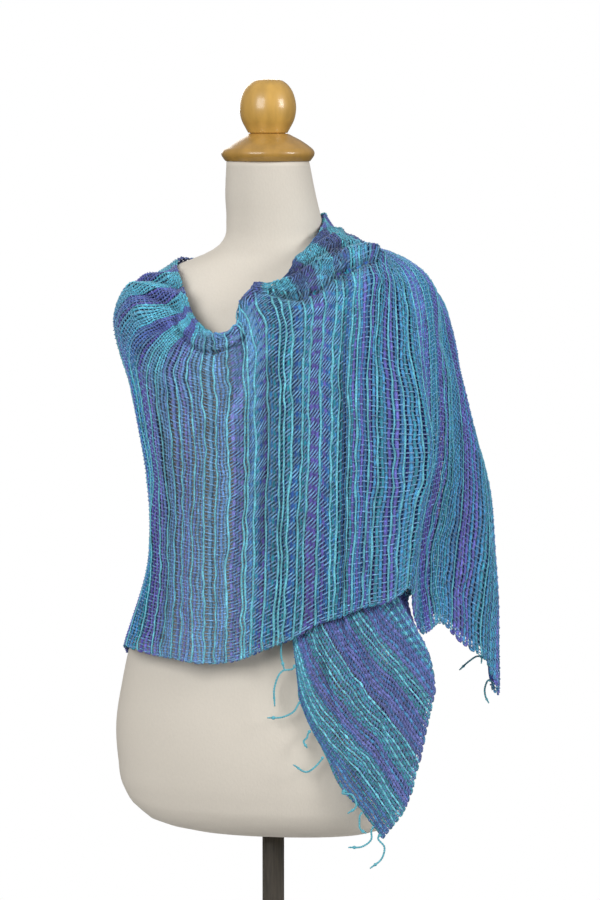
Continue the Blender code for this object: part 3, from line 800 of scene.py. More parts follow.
def fine_cloth(form_tree):
    """The wrap on a fine even grid with its creases and ruffled edges, its outward normals, the painted shade
    of its creases (darker in the valleys, lighter on the ridges as painted highlight), and the ribs' lengths
    along the flat scarf."""
    sheet, lengths, knots = draped_cloth(form_tree)
    rows = int(round(knots[-1] / FINE_STEP)) + 1
    columns = int(round(SCARF_WIDTH / FINE_STEP)) + 1
    fine_lengths = np.linspace(0, knots[-1], rows)
    shares = np.linspace(0, 1, columns)
    grid = read_curve(lengths, sheet, fine_lengths)
    grid = read_curve(np.linspace(0, 1, ACROSS), grid.transpose(1, 0, 2), shares).transpose(1, 0, 2)
    normals = grid_normals(grid)
    places = places_at(knots, fine_lengths)
    random = np.random.default_rng(SEED)
    creases = fold_heights(CREASES, places, shares, knots)
    lift = creases + fold_heights(SETTLED, places, shares, knots)
    lift += SMALL_WAVES * smooth_field(random, rows, columns, 46, 10)
    ruffle = RUFFLE * smooth_field(random, rows, columns, 110, 3)
    edge = np.exp(-((shares / 0.022) ** 2)) + 0.8 * np.exp(-(((1 - shares) / 0.018) ** 2))
    lift += ruffle * edge[None, :]
    grid = grid + normals * lift[:, :, None]
    grid = keep_outside(grid, form_tree, FINE_FORM_CLEARANCE, 0.03, False)
    lower, upper = np.searchsorted(places, (LOWER_FROM, UPPER_TO))
    under = sheet_tree(grid[lower::2, ::2])
    clear = keep_outside(grid[:upper], under, FINE_LAYER_CLEARANCE, 0.02, True)
    grid[:upper] = soften(clear, grid[:upper], 1)
    # creases are painted darker in the valleys as painted shade and lighter on the ridges as painted
    # highlight
    return grid, grid_normals(grid), np.clip(1 + CREASE_PAINTED_SHADE * creases, *CREASE_PAINTED_SHADE_LIMITS), knots


def cloth_at(cloth, along, across):
    """Points of the cloth and unit outward directions at lengths along and widths across the flat scarf."""
    points, ups = [read_grid(layer, along / FINE_STEP, across / FINE_STEP) for layer in cloth[:2]]
    return points, unit(ups)


def weft_plan(knots, grid):
    """The length along the flat scarf and the yarn name of each weft, spaced by the drape."""
    random = np.random.default_rng(SEED + 1)
    band_lengths = np.append(knots_at(knots, [place for place, _ in BANDS]), knots[-1] + 1)
    columns = (np.array([0.3, 0.45, 0.6, 0.75, 0.9]) * (grid.shape[1] - 1)).astype(int)
    steps = np.linalg.norm(np.diff(grid[:, columns], axis=0), axis=2).max(axis=1)
    steps = np.convolve(np.pad(steps, 6, mode="edge"), np.full(13, 1 / 13), mode="valid")
    drawn = summed(np.clip(steps, FINE_STEP, 1.7 * FINE_STEP))
    count = int(round(drawn[-1] / WEFT_PITCH))
    even = (np.arange(count) + 0.5) * drawn[-1] / count + random.uniform(-0.0005, 0.0005, count)
    lengths = np.interp(even, drawn, np.linspace(0, knots[-1], len(drawn)))
    names = []
    step = 0
    last_band = -1
    for length in lengths:
        band = int(np.searchsorted(band_lengths, length, side="right")) - 1
        if band != last_band:
            step = int(random.integers(0, 3))
            last_band = band
        order = BAND_YARNS[BANDS[band][1]]
        names.append(order[step % len(order)])
        step += 1
    front = np.array(FRONT_BRIGHTS) * MM
    for index, length in enumerate(lengths):
        if front[0] - 0.004 < length < front[-1] + 0.004 and names[index] == "bright":
            names[index] = "sky"
    for length in front:
        nearest = int(np.argmin(np.abs(lengths - length)))
        names[nearest] = "bright"
        lengths[nearest] = length
    return np.sort(lengths), names


def warp_places(gather, count):
    """Shares of the width where the warps lie: closer at the neckline by gather, and at both selvages."""
    share = np.linspace(0, 1, 2001)
    room = 1 - gather * np.exp(-((share / 0.15) ** 2))
    room -= 0.35 * np.exp(-((share / 0.012) ** 2)) + 0.55 * np.exp(-(((1 - share) / 0.014) ** 2))
    crowd = 1 / room
    warps = summed((crowd[1:] + crowd[:-1]) / 2)
    return np.interp((np.arange(count) + 0.5) / count, warps / warps[-1], share)


def crossings(lengths, knots):
    """Where each weft meets each warp: lengths along and widths across the flat scarf."""
    random = np.random.default_rng(SEED + 2)
    count = len(lengths)
    loose = warp_places(0.10, WARP_COUNT)
    tight = warp_places(0.58, WARP_COUNT)
    places = places_at(knots, lengths)
    gather = read_table(GATHER, places)
    shares = loose[None, :] + gather[:, None] * (tight - loose)[None, :]
    rolled = read_table(NECK_EDGE, places)[:, None]
    shares = rolled + (1 - rolled) * shares
    along = lengths[:, None] + 0 * shares
    along += LONG_WANDER * smooth_field(random, count, WARP_COUNT, 70, 12)
    along += SHORT_WANDER * smooth_field(random, count, WARP_COUNT, 190, 34)
    # at the shoulder the wefts lean along the neckline and then drop
    lean = read_table(SHOULDER_LEAN, places) * MM
    along -= lean[:, None] * np.clip(1 - shares / 0.20, 0, 1) ** 1.1
    side = read_table(SIDE_LEAN, places) * MM
    along += side[:, None] * np.clip((shares - 0.42) / 0.5, 0, 1)
    # near the hanging end they lie aslant and bunch along the last edge
    slanted = read_table(((29.0, 0), (30.3, 1)), places)[:, None]
    slant = 0.28 * np.clip(0.86 - shares, 0, 0.50) * SCARF_WIDTH * slanted
    left = knots[-1] - along
    bunched = BUNCH * np.logaddexp(0, (left - slant) / BUNCH)
    along = np.where(slant > 0, knots[-1] - np.minimum(bunched, left), along)
    slide_at = knots_at(knots, [place for place, _ in SLIDE])
    slide = read_curve(slide_at, np.array(SLIDE)[:, 1:] * MM, np.clip(lengths, 0, knots[-1]))
    bow = np.sin(math.pi * shares) ** 0.8
    across = shares * SCARF_WIDTH + slide * bow
    across += WARP_WANDER * smooth_field(random, count, WARP_COUNT, 150, 50) * bow
    return along, across


def lengths_mean(paths):
    """The mean length of a row of yarns."""
    return np.linalg.norm(np.diff(paths, axis=1), axis=2).sum(axis=1).mean()


def room_beside(paths, axis):
    """The distance from each point of a row of yarns to the same point of the yarns beside it."""
    return np.linalg.norm(np.gradient(paths, axis=axis), axis=2)


def selvage_turns(side, picked, edge_points, last_points):
    """Three more points past the end of each weft. Every other one turns there towards the next weft."""
    outward = unit(edge_points - last_points)
    turned = (picked % 2 == side) & (picked < picked[-1])
    onward = np.where(turned[:, None], np.roll(edge_points, -1, axis=0) - edge_points, 0.0)
    first = edge_points + outward * 0.0008
    second = edge_points + outward * np.where(turned, 0.0014, 0.0012)[:, None] + onward * 0.5
    third = edge_points + outward * np.where(turned, 0.0005, 0.0016)[:, None] + onward * 0.97
    return np.stack([first, second, third], axis=1)


def on_ends(values, count):
    """A table of values carried on past both ends of its rows."""
    return np.pad(values, ((0, 0), (count, count)), mode="edge")


def net_colours(random, kinds, lengths, places, depth, over, proud, gathered):
    """The colours of the wefts and the warps of one stretch, point by point."""
    count = len(kinds)
    bright = kinds == "bright"
    # the yarns are brightened by place as painted light
    light_lift = read_table(PAINTED_LIGHT_LIFT, places)
    base = np.array([yarn_colour(kind) for kind in kinds])
    close = read_table(SOFTNESS, places)[:, None]
    close = close * (1 - 0.7 * bright[:, None] * (places > 12)[:, None])
    purple = np.isin(kinds, ("purple", "violet"))[:, None]
    soft = np.where(purple, yarn_colour("soft purple"), yarn_colour("soft turquoise"))
    soft = np.where((places > HANGING_FROM + 0.5)[:, None], yarn_colour("soft hanging end"), soft)
    soft = np.where(abs(places - 14.2)[:, None] < 2, yarn_colour("soft front"), soft)
    base = (base * (1 - close) + soft * close) * np.where(bright, np.minimum(light_lift, BRIGHT_PAINTED_LIGHT_LIFT), light_lift)[:, None]
    tone = 1 + WEFT_TONES[0] * smooth_field(random, count, WARP_COUNT + 2 * TURN_POINTS, count, 30)
    tone += WEFT_TONES[1] * random.uniform(-1, 1, tone.shape)
    # a yarn is painted darker where it dips under another and lighter where it passes over, as painted shade
    # and highlight, and darker in creases as painted shade
    tone *= on_ends(depth * (1 + DIP_PAINTED_SHADE * over * (1 - proud)), TURN_POINTS)
    turn = np.sin(2 * math.pi * lengths / GATHERED_BAND)
    pressed = np.where(turn[:, None] > -0.1, yarn_colour("pressed turquoise"), yarn_colour("pressed purple"))
    # near the collar the pressed bands are painted darker, the purple ones most, as painted shade in its
    # rolls
    collar = np.clip((13.5 - places) / 1.8, 0, 1) * np.where(turn > -0.1, 0.18, 0.52)
    pressed = pressed * (1 - collar)[:, None]
    mixed = on_ends(gathered, TURN_POINTS)[:, :, None] * PRESSED_WEFT
    weft_colours = (base[:, None, :] * (1 - mixed) + pressed[:, None, :] * mixed) * tone[:, :, None]
    if places.mean() > 28:
        warp_base = np.array(yarn_colour("hanging warp"))
    else:
        # the warps take part of the same painted light
        warp_base = np.array(yarn_colour("warp")) * (0.6 + 0.4 * light_lift.mean())
    warp_tone = 0.94 + WARP_TONES[0] * smooth_field(random, WARP_COUNT, count + 2, WARP_COUNT, 20)
    warp_tone += WARP_TONES[1] * random.uniform(-1, 1, warp_tone.shape)
    # the warps get the same painted shade and highlight at the crossings and in the creases
    warp_tone *= on_ends((depth * (1 - DIP_PAINTED_SHADE * over)).T, 1)
    edge_colours = np.array([yarn_colour(kind) for kind in ("bright", "violet", "bright", "sky")])
    numbers = np.arange(WARP_COUNT)
    warp_base = np.where((numbers < EDGE_WARPS)[:, None], edge_colours[numbers % 4], warp_base[None, :])
    # the warps take on a little of the band that they cross
    around = np.pad(base, ((4, 4), (0, 0)), mode="edge")
    even = np.full(7, 1 / 7)
    around = np.stack([np.convolve(around[:, tint], even, mode="valid") for tint in range(3)], axis=1)
    warp_base = warp_base[:, None, :] * (1 - BAND_ON_WARP) + around[None, :, :] * BAND_ON_WARP
    warp_mixed = on_ends(gathered.T, 1)[:, :, None] * PRESSED_WARP
    warp_pressed = np.pad(pressed, ((1, 1), (0, 0)), mode="edge")[None, :, :]
    warp_colours = (warp_base * (1 - warp_mixed) + warp_pressed * warp_mixed) * warp_tone[:, :, None]
    return weft_colours, warp_colours


def net_stretch(name, rows, plan, cloth, material):
    """One stretch of the net: its wefts and the warps that pass over and under them."""
    grid, _, crease_painted_shade, knots = cloth
    picked = np.arange(*rows)
    names, along, across = [column[picked] for column in plan]
    centre, up = cloth_at(cloth, along, across)
    places = places_at(knots, along.mean(axis=1))
    floats = np.where((places > FLOATS[0]) & (places < FLOATS[1]), 3, 2)[:, None]
    over = np.where((picked[:, None] + np.arange(WARP_COUNT)[None, :]) % floats == 0, 1.0, -1.0)
    bright = names == "bright"
    band_end = read_along(GATHERED, knots, along, 0.02)
    gathered = np.clip(1.5 - across / SCARF_WIDTH / np.maximum(band_end, 0.01), 0, 1)
    random = np.random.default_rng(SEED + 10 + picked[0])
    wander = smooth_field(random, len(picked), WARP_COUNT, len(picked), 40)
    hanging = np.clip(places - HANGING_FROM, 0, 1)[:, None]
    proud = bright[:, None] * (1 - gathered) * (1 - 0.7 * hanging)
    weft_height = (WEFT_RISE * over - WEFT_REST + PLAIN_LIFT * (floats == 2)) * (1 - proud)
    weft_height = weft_height + (BRIGHT_LIFT + BRIGHT_RISE * over + BRIGHT_WANDER * wander) * proud
    warp_height = (WARP_REST - WARP_RISE * over) * (1 - proud) - WARP_UNDER_BRIGHT * proud
    edge_warp = np.arange(WARP_COUNT) < EDGE_WARPS
    warp_height = warp_height + EDGE_WARP_LIFT * edge_warp
    # wefts, each with a short turn at one selvage
    weft_paths = centre + up * weft_height[:, :, None]
    ends = []
    neck_edge = read_along(NECK_EDGE, knots, along[:, 0]) * SCARF_WIDTH
    for side, end, column in ((0, 0, neck_edge), (1, -1, SCARF_WIDTH)):
        edge_columns = column / FINE_STEP + np.zeros(len(picked))
        edge_points = read_grid(grid, along[:, end] / FINE_STEP, edge_columns)
        ends.append(selvage_turns(side, picked, edge_points, weft_paths[:, end]))
    weft_paths = np.concatenate([ends[0][:, ::-1], weft_paths, ends[1]], axis=1)
    weft_ups = np.pad(up, ((0, 0), (TURN_POINTS, TURN_POINTS), (0, 0)), mode="edge")
    width = np.where(bright, BRIGHT_WIDTH, read_table(WEFT_WIDTHS, places) * MM)[:, None] / 2
    half_width = width * (1 + WEFT_UNEVEN * random.uniform(-1, 1, weft_paths.shape[:2]))
    room = room_beside(weft_paths, 0)
    half_width = np.where(bright[:, None], half_width, np.maximum(half_width, room * LEAST_WEFT))
    half_width[:, :TURN_POINTS] *= 0.7
    half_width[:, -TURN_POINTS:] *= 0.7
    half_width = np.minimum(half_width, room * MOST_WEFT)
    half_height = np.minimum(np.where(bright, 0.00085, 0.00070)[:, None], half_width)
    # warps, carried a little past the first and the last weft
    warp_paths = (centre + up * warp_height[:, :, None]).transpose(1, 0, 2)
    before = warp_paths[:, :1] * 1.5 - warp_paths[:, 1:2] * 0.5
    after = warp_paths[:, -1:] * 1.5 - warp_paths[:, -2:-1] * 0.5
    warp_paths = np.concatenate([before, warp_paths, after], axis=1)
    warp_ups = np.pad(up.transpose(1, 0, 2), ((0, 0), (1, 1), (0, 0)), mode="edge")
    width = (WARP_WIDTH / 2 + 0.0006 * edge_warp)[:, None]
    warp_width = width * (1 + WARP_UNEVEN * random.uniform(-1, 1, warp_paths.shape[:2]))
    warp_width = np.minimum(warp_width, room_beside(warp_paths, 0) * MOST_WARP)
    # the painted shade and highlight of the creases, read at each crossing
    depth = read_grid(crease_painted_shade[:, :, None], along / FINE_STEP, across / FINE_STEP)[:, :, 0]
    colours = net_colours(random, names, along.mean(axis=1), places, depth, over, proud, gathered)
    wefts = (weft_paths, weft_ups, half_width, half_height)
    warps = (warp_paths, warp_ups, warp_width, warp_width * 0.85)
    made = yarn_net(name, wefts, warps, *colours, material)
    # the yarn map has one row for each yarn, and the small end faces share a corner of it
    map_rows = len(picked) + WARP_COUNT
    end_corners = 2 * (len(picked) * WEFT_SIDES + WARP_COUNT * WARP_SIDES)
    on_map = np.concatenate([
        tube_map(len(picked), weft_paths.shape[1], WEFT_SIDES, 0, map_rows),
        tube_map(WARP_COUNT, warp_paths.shape[1], WARP_SIDES, len(picked), map_rows),
        np.full((end_corners, 2), 0.001),
    ])
    yarn_map = made.data.uv_layers.new(name="OFBake")
    yarn_map.data.foreach_set("uv", on_map.astype(np.float32).reshape(-1))
    return made


def turned_under(name, first, last, share_from, share_to, cloth, material):
    """The cloth that lies double behind a stretch: a closer net just inside the outer one, and its cut."""
    random = np.random.default_rng(SEED + 5)
    count = int(round((last - first) / UNDER_PITCH))
    lengths = first + (np.arange(count) + 0.5) * (last - first) / count
    warps_here = int(round(UNDER_WARPS * (share_to - share_from))) + 2
    # the far edge is a ragged one, except where it is the edge of the scarf
    ragged = 0.0 if share_to > 0.94 else UNDER_RAGGED
    reach = share_to - ragged * (0.5 + 0.5 * smooth_field(random, count, 1, count // 3, 1)) * share_to
    shares = share_from + (reach - share_from) * warp_places(0.3, warps_here)[None, :]
    along = lengths[:, None] + 0.0012 * smooth_field(random, count, warps_here, 14, 10)
    centre, up = cloth_at(cloth, along, shares * SCARF_WIDTH)
    over = np.where((np.arange(count)[:, None] + np.arange(warps_here)[None, :]) % 2 == 0, 1.0, -1.0)
    wefts = centre + up * (0.0003 * over - UNDER_DEPTH)[:, :, None]
    warps = (centre + up * (-0.0006 * over - UNDER_DEPTH)[:, :, None]).transpose(1, 0, 2)
    wide = np.clip(room_beside(wefts, 0) * 0.49, 0.0004, 0.0026)
    narrow = np.minimum(room_beside(warps, 0) * 0.45, 0.0009)
    tones = [yarn_colour(kind) for kind in ("blue", "purple", "sky", "blue", "teal", "purple")]
    # the closer net's wefts are painted half again brighter, as painted light, since it lies in the outer
    # net's shade
    weft_colours = np.array([tones[(index // 3) % 6] for index in range(count)]) * 1.5
    weft_colours = np.repeat(weft_colours, warps_here, axis=0)
    warp_colours = np.full((warps_here * count, 3), yarn_colour("warp"))
    thick = (wefts, up, wide, np.minimum(wide, 0.0008))
    thin = (warps, up.transpose(1, 0, 2), narrow, narrow * 0.8)
    made = yarn_net(name, thick, thin, weft_colours, warp_colours, material)
    return made, (float(lengths_mean(wefts)), float(lengths_mean(warps)))


def set_inputs(node, values):
    """Sets inputs of a node by name."""
    for label, value in values.items():
        node.inputs[label].default_value = value


def join(tree, *links):
    """Links nodes, each link given as a node, its output, the next node and its input."""
    for source, output, target, label in links:
        tree.links.new(source.outputs[output], target.inputs[label])


def add_nodes(tree, *kinds):
    """Adds nodes of the given kinds to a tree."""
    return [tree.nodes.new(kind) for kind in kinds]


def add_sockets(tree, way, *sockets):
    """Adds named inputs or outputs to a group."""
    return [
        tree.interface.new_socket(label, in_out=way, socket_type="NodeSocket" + kind)
        for label, kind in sockets
    ]


def grain_group():
    """A shader group that makes a colour uneven by a stretched noise and gives that noise as a height."""
    group = bpy.data.node_groups.new("uneven_grain", "ShaderNodeTree")
    add_sockets(
        group, "INPUT", ("Colour", "Color"), ("Stretch", "Vector"),
        ("Scale", "Float"), ("Darkest", "Float"), ("Lightest", "Float"),
    )
    add_sockets(group, "OUTPUT", ("Colour", "Color"), ("Height", "Float"))
    given, place, stretch, noise, level, shade, made = add_nodes(
        group, "NodeGroupInput", "ShaderNodeTexCoord", "ShaderNodeMapping", "ShaderNodeTexNoise",
        "ShaderNodeMapRange", "ShaderNodeVectorMath", "NodeGroupOutput",
    )
    set_inputs(noise, {"Detail": 4})
    set_inputs(level, {"From Min": 0.3, "From Max": 0.7})
    shade.operation = "SCALE"
    join(
        group,
        (place, "Object", stretch, "Vector"),
        (given, "Stretch", stretch, "Scale"),
        (stretch, "Vector", noise, "Vector"),
        (given, "Scale", noise, "Scale"),
        (noise, "Fac", level, "Value"),
        (given, "Darkest", level, "To Min"),
        (given, "Lightest", level, "To Max"),
        (given, "Colour", shade, 0),
        (level, "Result", shade, "Scale"),
        (shade, "Vector", made, "Colour"),
        (noise, "Fac", made, "Height"),
    )
    return group


def finish(name, grain, colour, stretch, scale, tones, relief, roughness, coat=0.0, sheen=0.0):
    """A finish with an uneven grain. Its colour is an attribute of the mesh where none is given."""
    material = bpy.data.materials.new(name)
    material.use_nodes = True
    tree = material.node_tree
    shader = tree.nodes["Principled BSDF"]
    set_inputs(shader, {
        "Roughness": roughness, "Coat Weight": coat, "Coat Roughness": 0.16,
        "Sheen Weight": sheen, "Sheen Roughness": 0.5,
    })
    uneven, = add_nodes(tree, "ShaderNodeGroup")
    uneven.node_tree = grain
    set_inputs(uneven, {"Stretch": stretch, "Scale": scale, "Darkest": tones[0], "Lightest": tones[1]})
    if colour:
        set_inputs(uneven, {"Colour": screen(*colour) + (1.0,)})
    else:
        own, = add_nodes(tree, "ShaderNodeAttribute")
        own.attribute_name = "yarn_colour"
        join(tree, (own, "Color", uneven, "Colour"))
    bump, = add_nodes(tree, "ShaderNodeBump")
    set_inputs(bump, {"Strength": 0.7, "Distance": relief})
    join(
        tree,
        (uneven, "Colour", shader, "Base Color"),
        (uneven, "Height", bump, "Height"),
        (bump, "Normal", shader, "Normal"),
    )
    return material


def knots_on(name, places, size, seed, material):
    """Small round knots of uneven size, set on the given places by geometry nodes and made plain mesh."""
    tree = bpy.data.node_groups.new("knots_on_points", "GeometryNodeTree")
    _, size_socket, seed_socket = add_sockets(
        tree, "INPUT", ("Geometry", "Geometry"), ("Knot Size", "Float"), ("Seed", "Int"),
    )
    add_sockets(tree, "OUTPUT", ("Geometry", "Geometry"))
    given, ball, vary, repeat, realised, painted, made = add_nodes(
        tree, "NodeGroupInput", "GeometryNodeMeshIcoSphere", "FunctionNodeRandomValue",
        "GeometryNodeInstanceOnPoints", "GeometryNodeRealizeInstances", "GeometryNodeSetMaterial",
        "NodeGroupOutput",
    )
    set_inputs(ball, {"Subdivisions": 2})
    vary.inputs[2].default_value = 0.75
    vary.inputs[3].default_value = 1.25
    set_inputs(painted, {"Material": material})
    join(
        tree,
        (given, "Geometry", repeat, "Points"),
        (given, "Knot Size", ball, "Radius"),
        (given, "Seed", vary, "Seed"),
        (ball, "Mesh", repeat, "Instance"),
        (vary, 1, repeat, "Scale"),
        (repeat, "Instances", realised, "Geometry"),
        (realised, "Geometry", painted, "Geometry"),
        (painted, "Geometry", made, "Geometry"),
    )
    mesh = bpy.data.meshes.new(name + "_places")
    mesh.from_pydata([tuple(map(float, place)) for place in places], [], [])
    source = placed(name + "_places", mesh)
    modifier = source.modifiers.new("knots", "NODES")
    modifier.node_group = tree
    modifier[size_socket.identifier] = size
    modifier[seed_socket.identifier] = seed
    graph = bpy.context.evaluated_depsgraph_get()
    shown = source.evaluated_get(graph)
    plain = bpy.data.meshes.new_from_object(shown, preserve_all_data_layers=True, depsgraph=graph)
    source.modifiers.remove(modifier)
    bpy.data.objects.remove(source)
    plain.name = name
    plain.shade_smooth()
    return placed(name, plain)


def turned_piece(name, profile, bottom, steps, material, centre):
    """A turned solid from a profile of heights and radii, closed at its poles."""
    turn = np.linspace(0, 2 * math.pi, steps, endpoint=False)
    points = []
    for height, radius in profile:
        ring = np.stack([radius * np.cos(turn), radius * np.sin(turn), 0 * turn + height], axis=1)
        points.extend(ring + np.array([centre[0], centre[1], bottom]))
    return solid_object(name, points, grid_tube_faces(len(profile), steps), material)


def form_piece(material):
    """The form's body on a fine grid, and its search tree."""
    top = FORM_SECTIONS[-1][0] * MM
    heights = np.concatenate([[0, 0.002, 0.005, 0.011, 0.018, 0.027], np.linspace(0.036, top, 140)])
    steps = 160
    points = np.concatenate([form_ring(height, steps) for height in heights])
    tucked = np.exp(-(((points[:, 2] - TUCK_HEIGHT) / TUCK_SPREAD) ** 2))
    tucked = tucked * np.clip(points[:, 0] / FORM_HALF_WIDTH, 0, 1) ** 3
    points[:, 0] -= TUCK_DEPTH * tucked
    faces = grid_tube_faces(len(heights), steps)
    made = solid_object("form_body", points, faces, material)
    return made, BVHTree.FromPolygons([Vector(point) for point in points], faces)


def tassel_cords(name, edge, beyond, cords, tree, material):
    """The cords of one end, twisted and knotted."""
    outward = unit(beyond)
    shares = np.linspace(0, 1, len(edge))
    paths = []
    for share, x1, z1, x2, z2, x3, z3, forward in cords:
        root, way = [
            np.array([np.interp(share, shares, row[:, axis]) for axis in range(3)]) for row in (edge, outward)
        ]
        steps = ((x1, -forward * 0.3, z1), (x2, -forward * 0.7, z2), (x3, -forward, z3))
        stations = np.array([root, root + way * 0.004] + [root + np.array(step) * MM for step in steps])
        lengths = lengths_along(stations)
        path = read_curve(lengths, stations, np.linspace(0, lengths[-1], CORD_POINTS))
        path[6:] = keep_outside(path[None, 6:], tree, FINE_FORM_CLEARANCE, 0.05, False)[0]
        paths.append(path)
    paths = np.array(paths)
    ahead = unit(np.gradient(paths, axis=1))
    ups = unit(np.cross(ahead, np.array([0.0, 1.0, 0.15])))
    sides = np.cross(ahead, ups)
    turn = np.linspace(0, 2 * math.pi * CORD_TWISTS, CORD_POINTS)[None, :, None]
    plies = []
    for phase in (0, math.pi):
        plies.append(paths + 0.7 * CORD_PLY * (np.cos(turn + phase) * ups + np.sin(turn + phase) * sides))
    plies = np.concatenate(plies)
    taper = np.concatenate([np.ones(CORD_TIED + 1), np.linspace(1, 0.6, CORD_POINTS - CORD_TIED - 1)])
    width = np.full(plies.shape[:2], CORD_PLY) * taper
    points, quads, first, last = yarn_tubes(plies, np.concatenate([ups, ups]), width, width, 4)
    made = mesh_object(name, points, np.concatenate([quads, first, last]), np.zeros((0, 3), int), material)
    tied = np.concatenate([paths[:, 1], paths[:, CORD_TIED]])
    return made, knots_on(name.replace("tassels", "knots"), tied, CORD_KNOT, SEED, material)


def area_light(name, place, target, size, power):
    """A large soft light that faces a point."""
    data = bpy.data.lights.new(name, "AREA")
    data.shape = "RECTANGLE"
    data.size, data.size_y = size
    data.energy = power
    lamp = placed(name, data)
    lamp.location = place
    lamp.rotation_euler = (Vector(target) - Vector(place)).to_track_quat("-Z", "Y").to_euler()


# Camera and lights
eye = Vector((0.0324, -4.1807, 1.1181))
aim = Vector((0.0324, 0.0, 0.7156))
camera_data = bpy.data.cameras.new("camera")
camera_data.sensor_fit = "VERTICAL"
camera_data.sensor_height = 24
camera_data.lens = 93.333
camera_data.clip_end = 100
camera = placed("camera", camera_data)
camera.location = eye
camera.rotation_euler = (aim - eye).to_track_quat("-Z", "Y").to_euler()
bpy.context.scene.camera = camera
bpy.context.scene.view_settings.view_transform = "Standard"

# The backdrop shows white, and lights the scene as a room that is dark below and pale above
world = bpy.data.worlds.new("studio")
bpy.context.scene.world = world
world.use_nodes = True
air = world.node_tree
backdrop = air.nodes["Background"]
set_inputs(backdrop, {"Color": (1, 1, 1, 1), "Strength": 1.0})
room, direction, split, height, seen, choose = add_nodes(
    air, "ShaderNodeBackground", "ShaderNodeTexCoord", "ShaderNodeSeparateXYZ", "ShaderNodeMapRange",
    "ShaderNodeLightPath", "ShaderNodeMixShader",
)
set_inputs(height, {"From Min": -0.6, "From Max": 0.8, "To Min": 0.0, "To Max": 0.50})
join(
    air,
    (direction, "Generated", split, "Vector"),
    (split, "Z", height, "Value"),
    (height, "Result", room, "Strength"),
    (seen, "Is Camera Ray", choose, "Fac"),
    (room, "Background", choose, 1),
    (backdrop, "Background", choose, 2),
    (choose, "Shader", air.nodes["World Output"], "Surface"),
)
area_light("key_light", (-1.2, -2.1, 1.70), (0, 0, 1.00), (1.4, 1.4), 45)
area_light("side_light", (2.3, -1.4, 1.7), (0.1, 0, 0.95), (0.9, 1.0), 42)
area_light("back_light", (-0.6, 2.6, 1.8), (0, 0, 0.95), (1.6, 1.6), 26)

floor_mesh = bpy.data.meshes.new("floor")
floor_turn = np.linspace(0, 2 * math.pi, 96, endpoint=False)
floor_points = [(0.70 * math.cos(angle), 0.70 * math.sin(angle), 0.0) for angle in floor_turn]
floor_mesh.from_pydata(floor_points, [], [tuple(range(len(floor_points)))])
floor_paint = bpy.data.materials.new("floor_paint")
floor_paint.use_nodes = True
floor_shader = floor_paint.node_tree.nodes["Principled BSDF"]
set_inputs(floor_shader, {"Base Color": (0.72, 0.72, 0.72, 1), "Roughness": 0.9})
floor_mesh.materials.append(floor_paint)
floor = placed("floor", floor_mesh)

# Stand and form
grain = grain_group()
fibres = ((1, 1, 1), 620)
yarn = finish("cotton_yarn", grain, None, *fibres, (0.60, 1.40), 0.0008, 0.8, sheen=0.25)
cord = finish("twisted_cord_yarn", grain, (98, 184, 200), *fibres, (0.70, 1.30), 0.0006, 0.8, sheen=0.25)
cover = finish("form_cover_finish", grain, (224, 216, 203), (1, 1, 0.6), 420, (0.985, 1.015), 0.0003, 0.85)
varnish = ((1.6, 1.6, 0.5), 45, (0.84, 1.14), 0.0001, 0.40, 0.6)
wood = finish("varnished_wood_finish", grain, (205, 161, 80), *varnish)
# The cap takes a darker copy of the knob's wood, as painted shade
shaded_cap_wood = finish("shaded_varnished_wood_finish", grain, (184, 141, 68), *varnish)
dark = finish("dark_stand_finish", grain, (66, 60, 51), (5, 5, 0.4), 90, (0.75, 1.35), 0.0003, 0.55)
form, form_tree = form_piece(cover)
base_profile = [
    (0, 0.147), (0.002, 0.1495), (0.004, BASE_RADIUS), (0.013, BASE_RADIUS),
    (0.0158, 0.1492), (0.0174, 0.1478), (BASE_HEIGHT, 0.146),
]
stand_base = turned_piece("round_base", base_profile, 0.0, 128, dark, (0, 0))
post_profile = [(height, POST_RADIUS) for height in np.linspace(0, FORM_BOTTOM - BASE_HEIGHT - 2 * GAP, 12)]
stand_post = turned_piece("round_post", post_profile, BASE_HEIGHT + GAP, 64, dark, (0, 0))
neck_height = FORM_SECTIONS[-1][0] * MM
neck_top = FORM_BOTTOM + neck_height + GAP
neck_ring = form_ring(neck_height, 34)
neck_centre = (float(neck_ring[:, 0].mean()), float(neck_ring[:, 1].mean()))
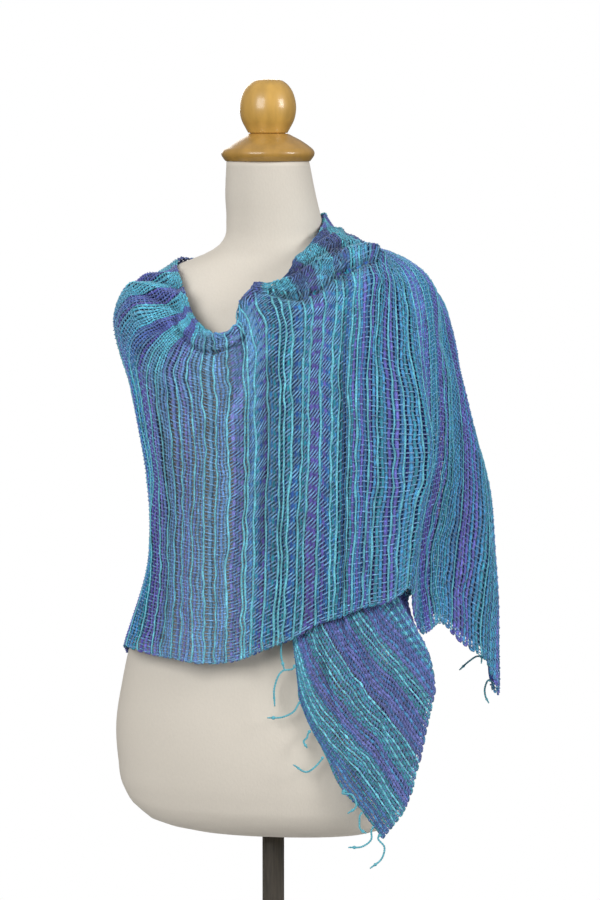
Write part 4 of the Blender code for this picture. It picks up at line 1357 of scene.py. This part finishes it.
cap_profile = np.concatenate([smooth_profile(CAP_PROFILE, 40), [(0.03252, 0.0212), (0.03325, 0.0210)]])
cap = turned_piece("turned_neck_cap", cap_profile, neck_top, 96, shaded_cap_wood, neck_centre)
knob_profile = smooth_profile(KNOB_PROFILE, 48) + np.array([GAP, 0.0])
ball = turned_piece("turned_knob", knob_profile, neck_top, 96, wood, neck_centre)

# The net
cloth = fine_cloth(form_tree)
grid, knots = cloth[0], cloth[-1]
weft_lengths, weft_names = weft_plan(knots, grid)
plan = (np.array(weft_names), *crossings(weft_lengths, knots))
net = []
for name, first, last, _ in STRETCHES:
    rows = np.searchsorted(weft_lengths, knots_at(knots, (first, last)))
    net.append(net_stretch(name + "_net", rows, plan, cloth, yarn))

under_layers = [
    turned_under(name, knots_at(knots, first), knots_at(knots, last), share_from, share_to, cloth, yarn)
    for name, first, last, share_from, share_to, _ in UNDER_LAYERS
]
front_tassels, front_knots = tassel_cords(
    "front_tassels", grid[-1], grid[-1] - grid[-2], FRONT_CORDS, form_tree, cord
)
back_tassels, back_knots = tassel_cords(
    "back_tassels", grid[0], grid[0] - grid[1], BACK_CORDS, form_tree, cord
)

# Each piece, the node that it replaces and the slot of what it is made of: each piece rides on the root body
# and its node is hidden
for piece, node, slot in (
    (form, "dress_form", "form_cover"),
    (stand_base, "stand_base", "dark_stand"),
    (stand_post, "stand_post", "dark_stand"),
    (cap, "neck_cap", "varnished_wood"),
    (ball, "knob", "varnished_wood"),
    (net[0], "thrown_end", "thread_net"),
    (net[1], "front_stretch", "thread_net"),
    (net[2], "back_stretch", "thread_net"),
    (net[3], "hanging_end", "thread_net"),
    (front_tassels, "fringe_front", "twisted_cord"),
    (back_tassels, "fringe_back", "twisted_cord"),
    (front_knots, "fringe_front", "twisted_cord"),
    (back_knots, "fringe_back", "twisted_cord"),
):
    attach(piece, "root")
    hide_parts(node)

for (piece, cut), (_, _, _, _, _, node) in zip(under_layers, UNDER_LAYERS):
    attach(piece, "root")
    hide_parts(node)
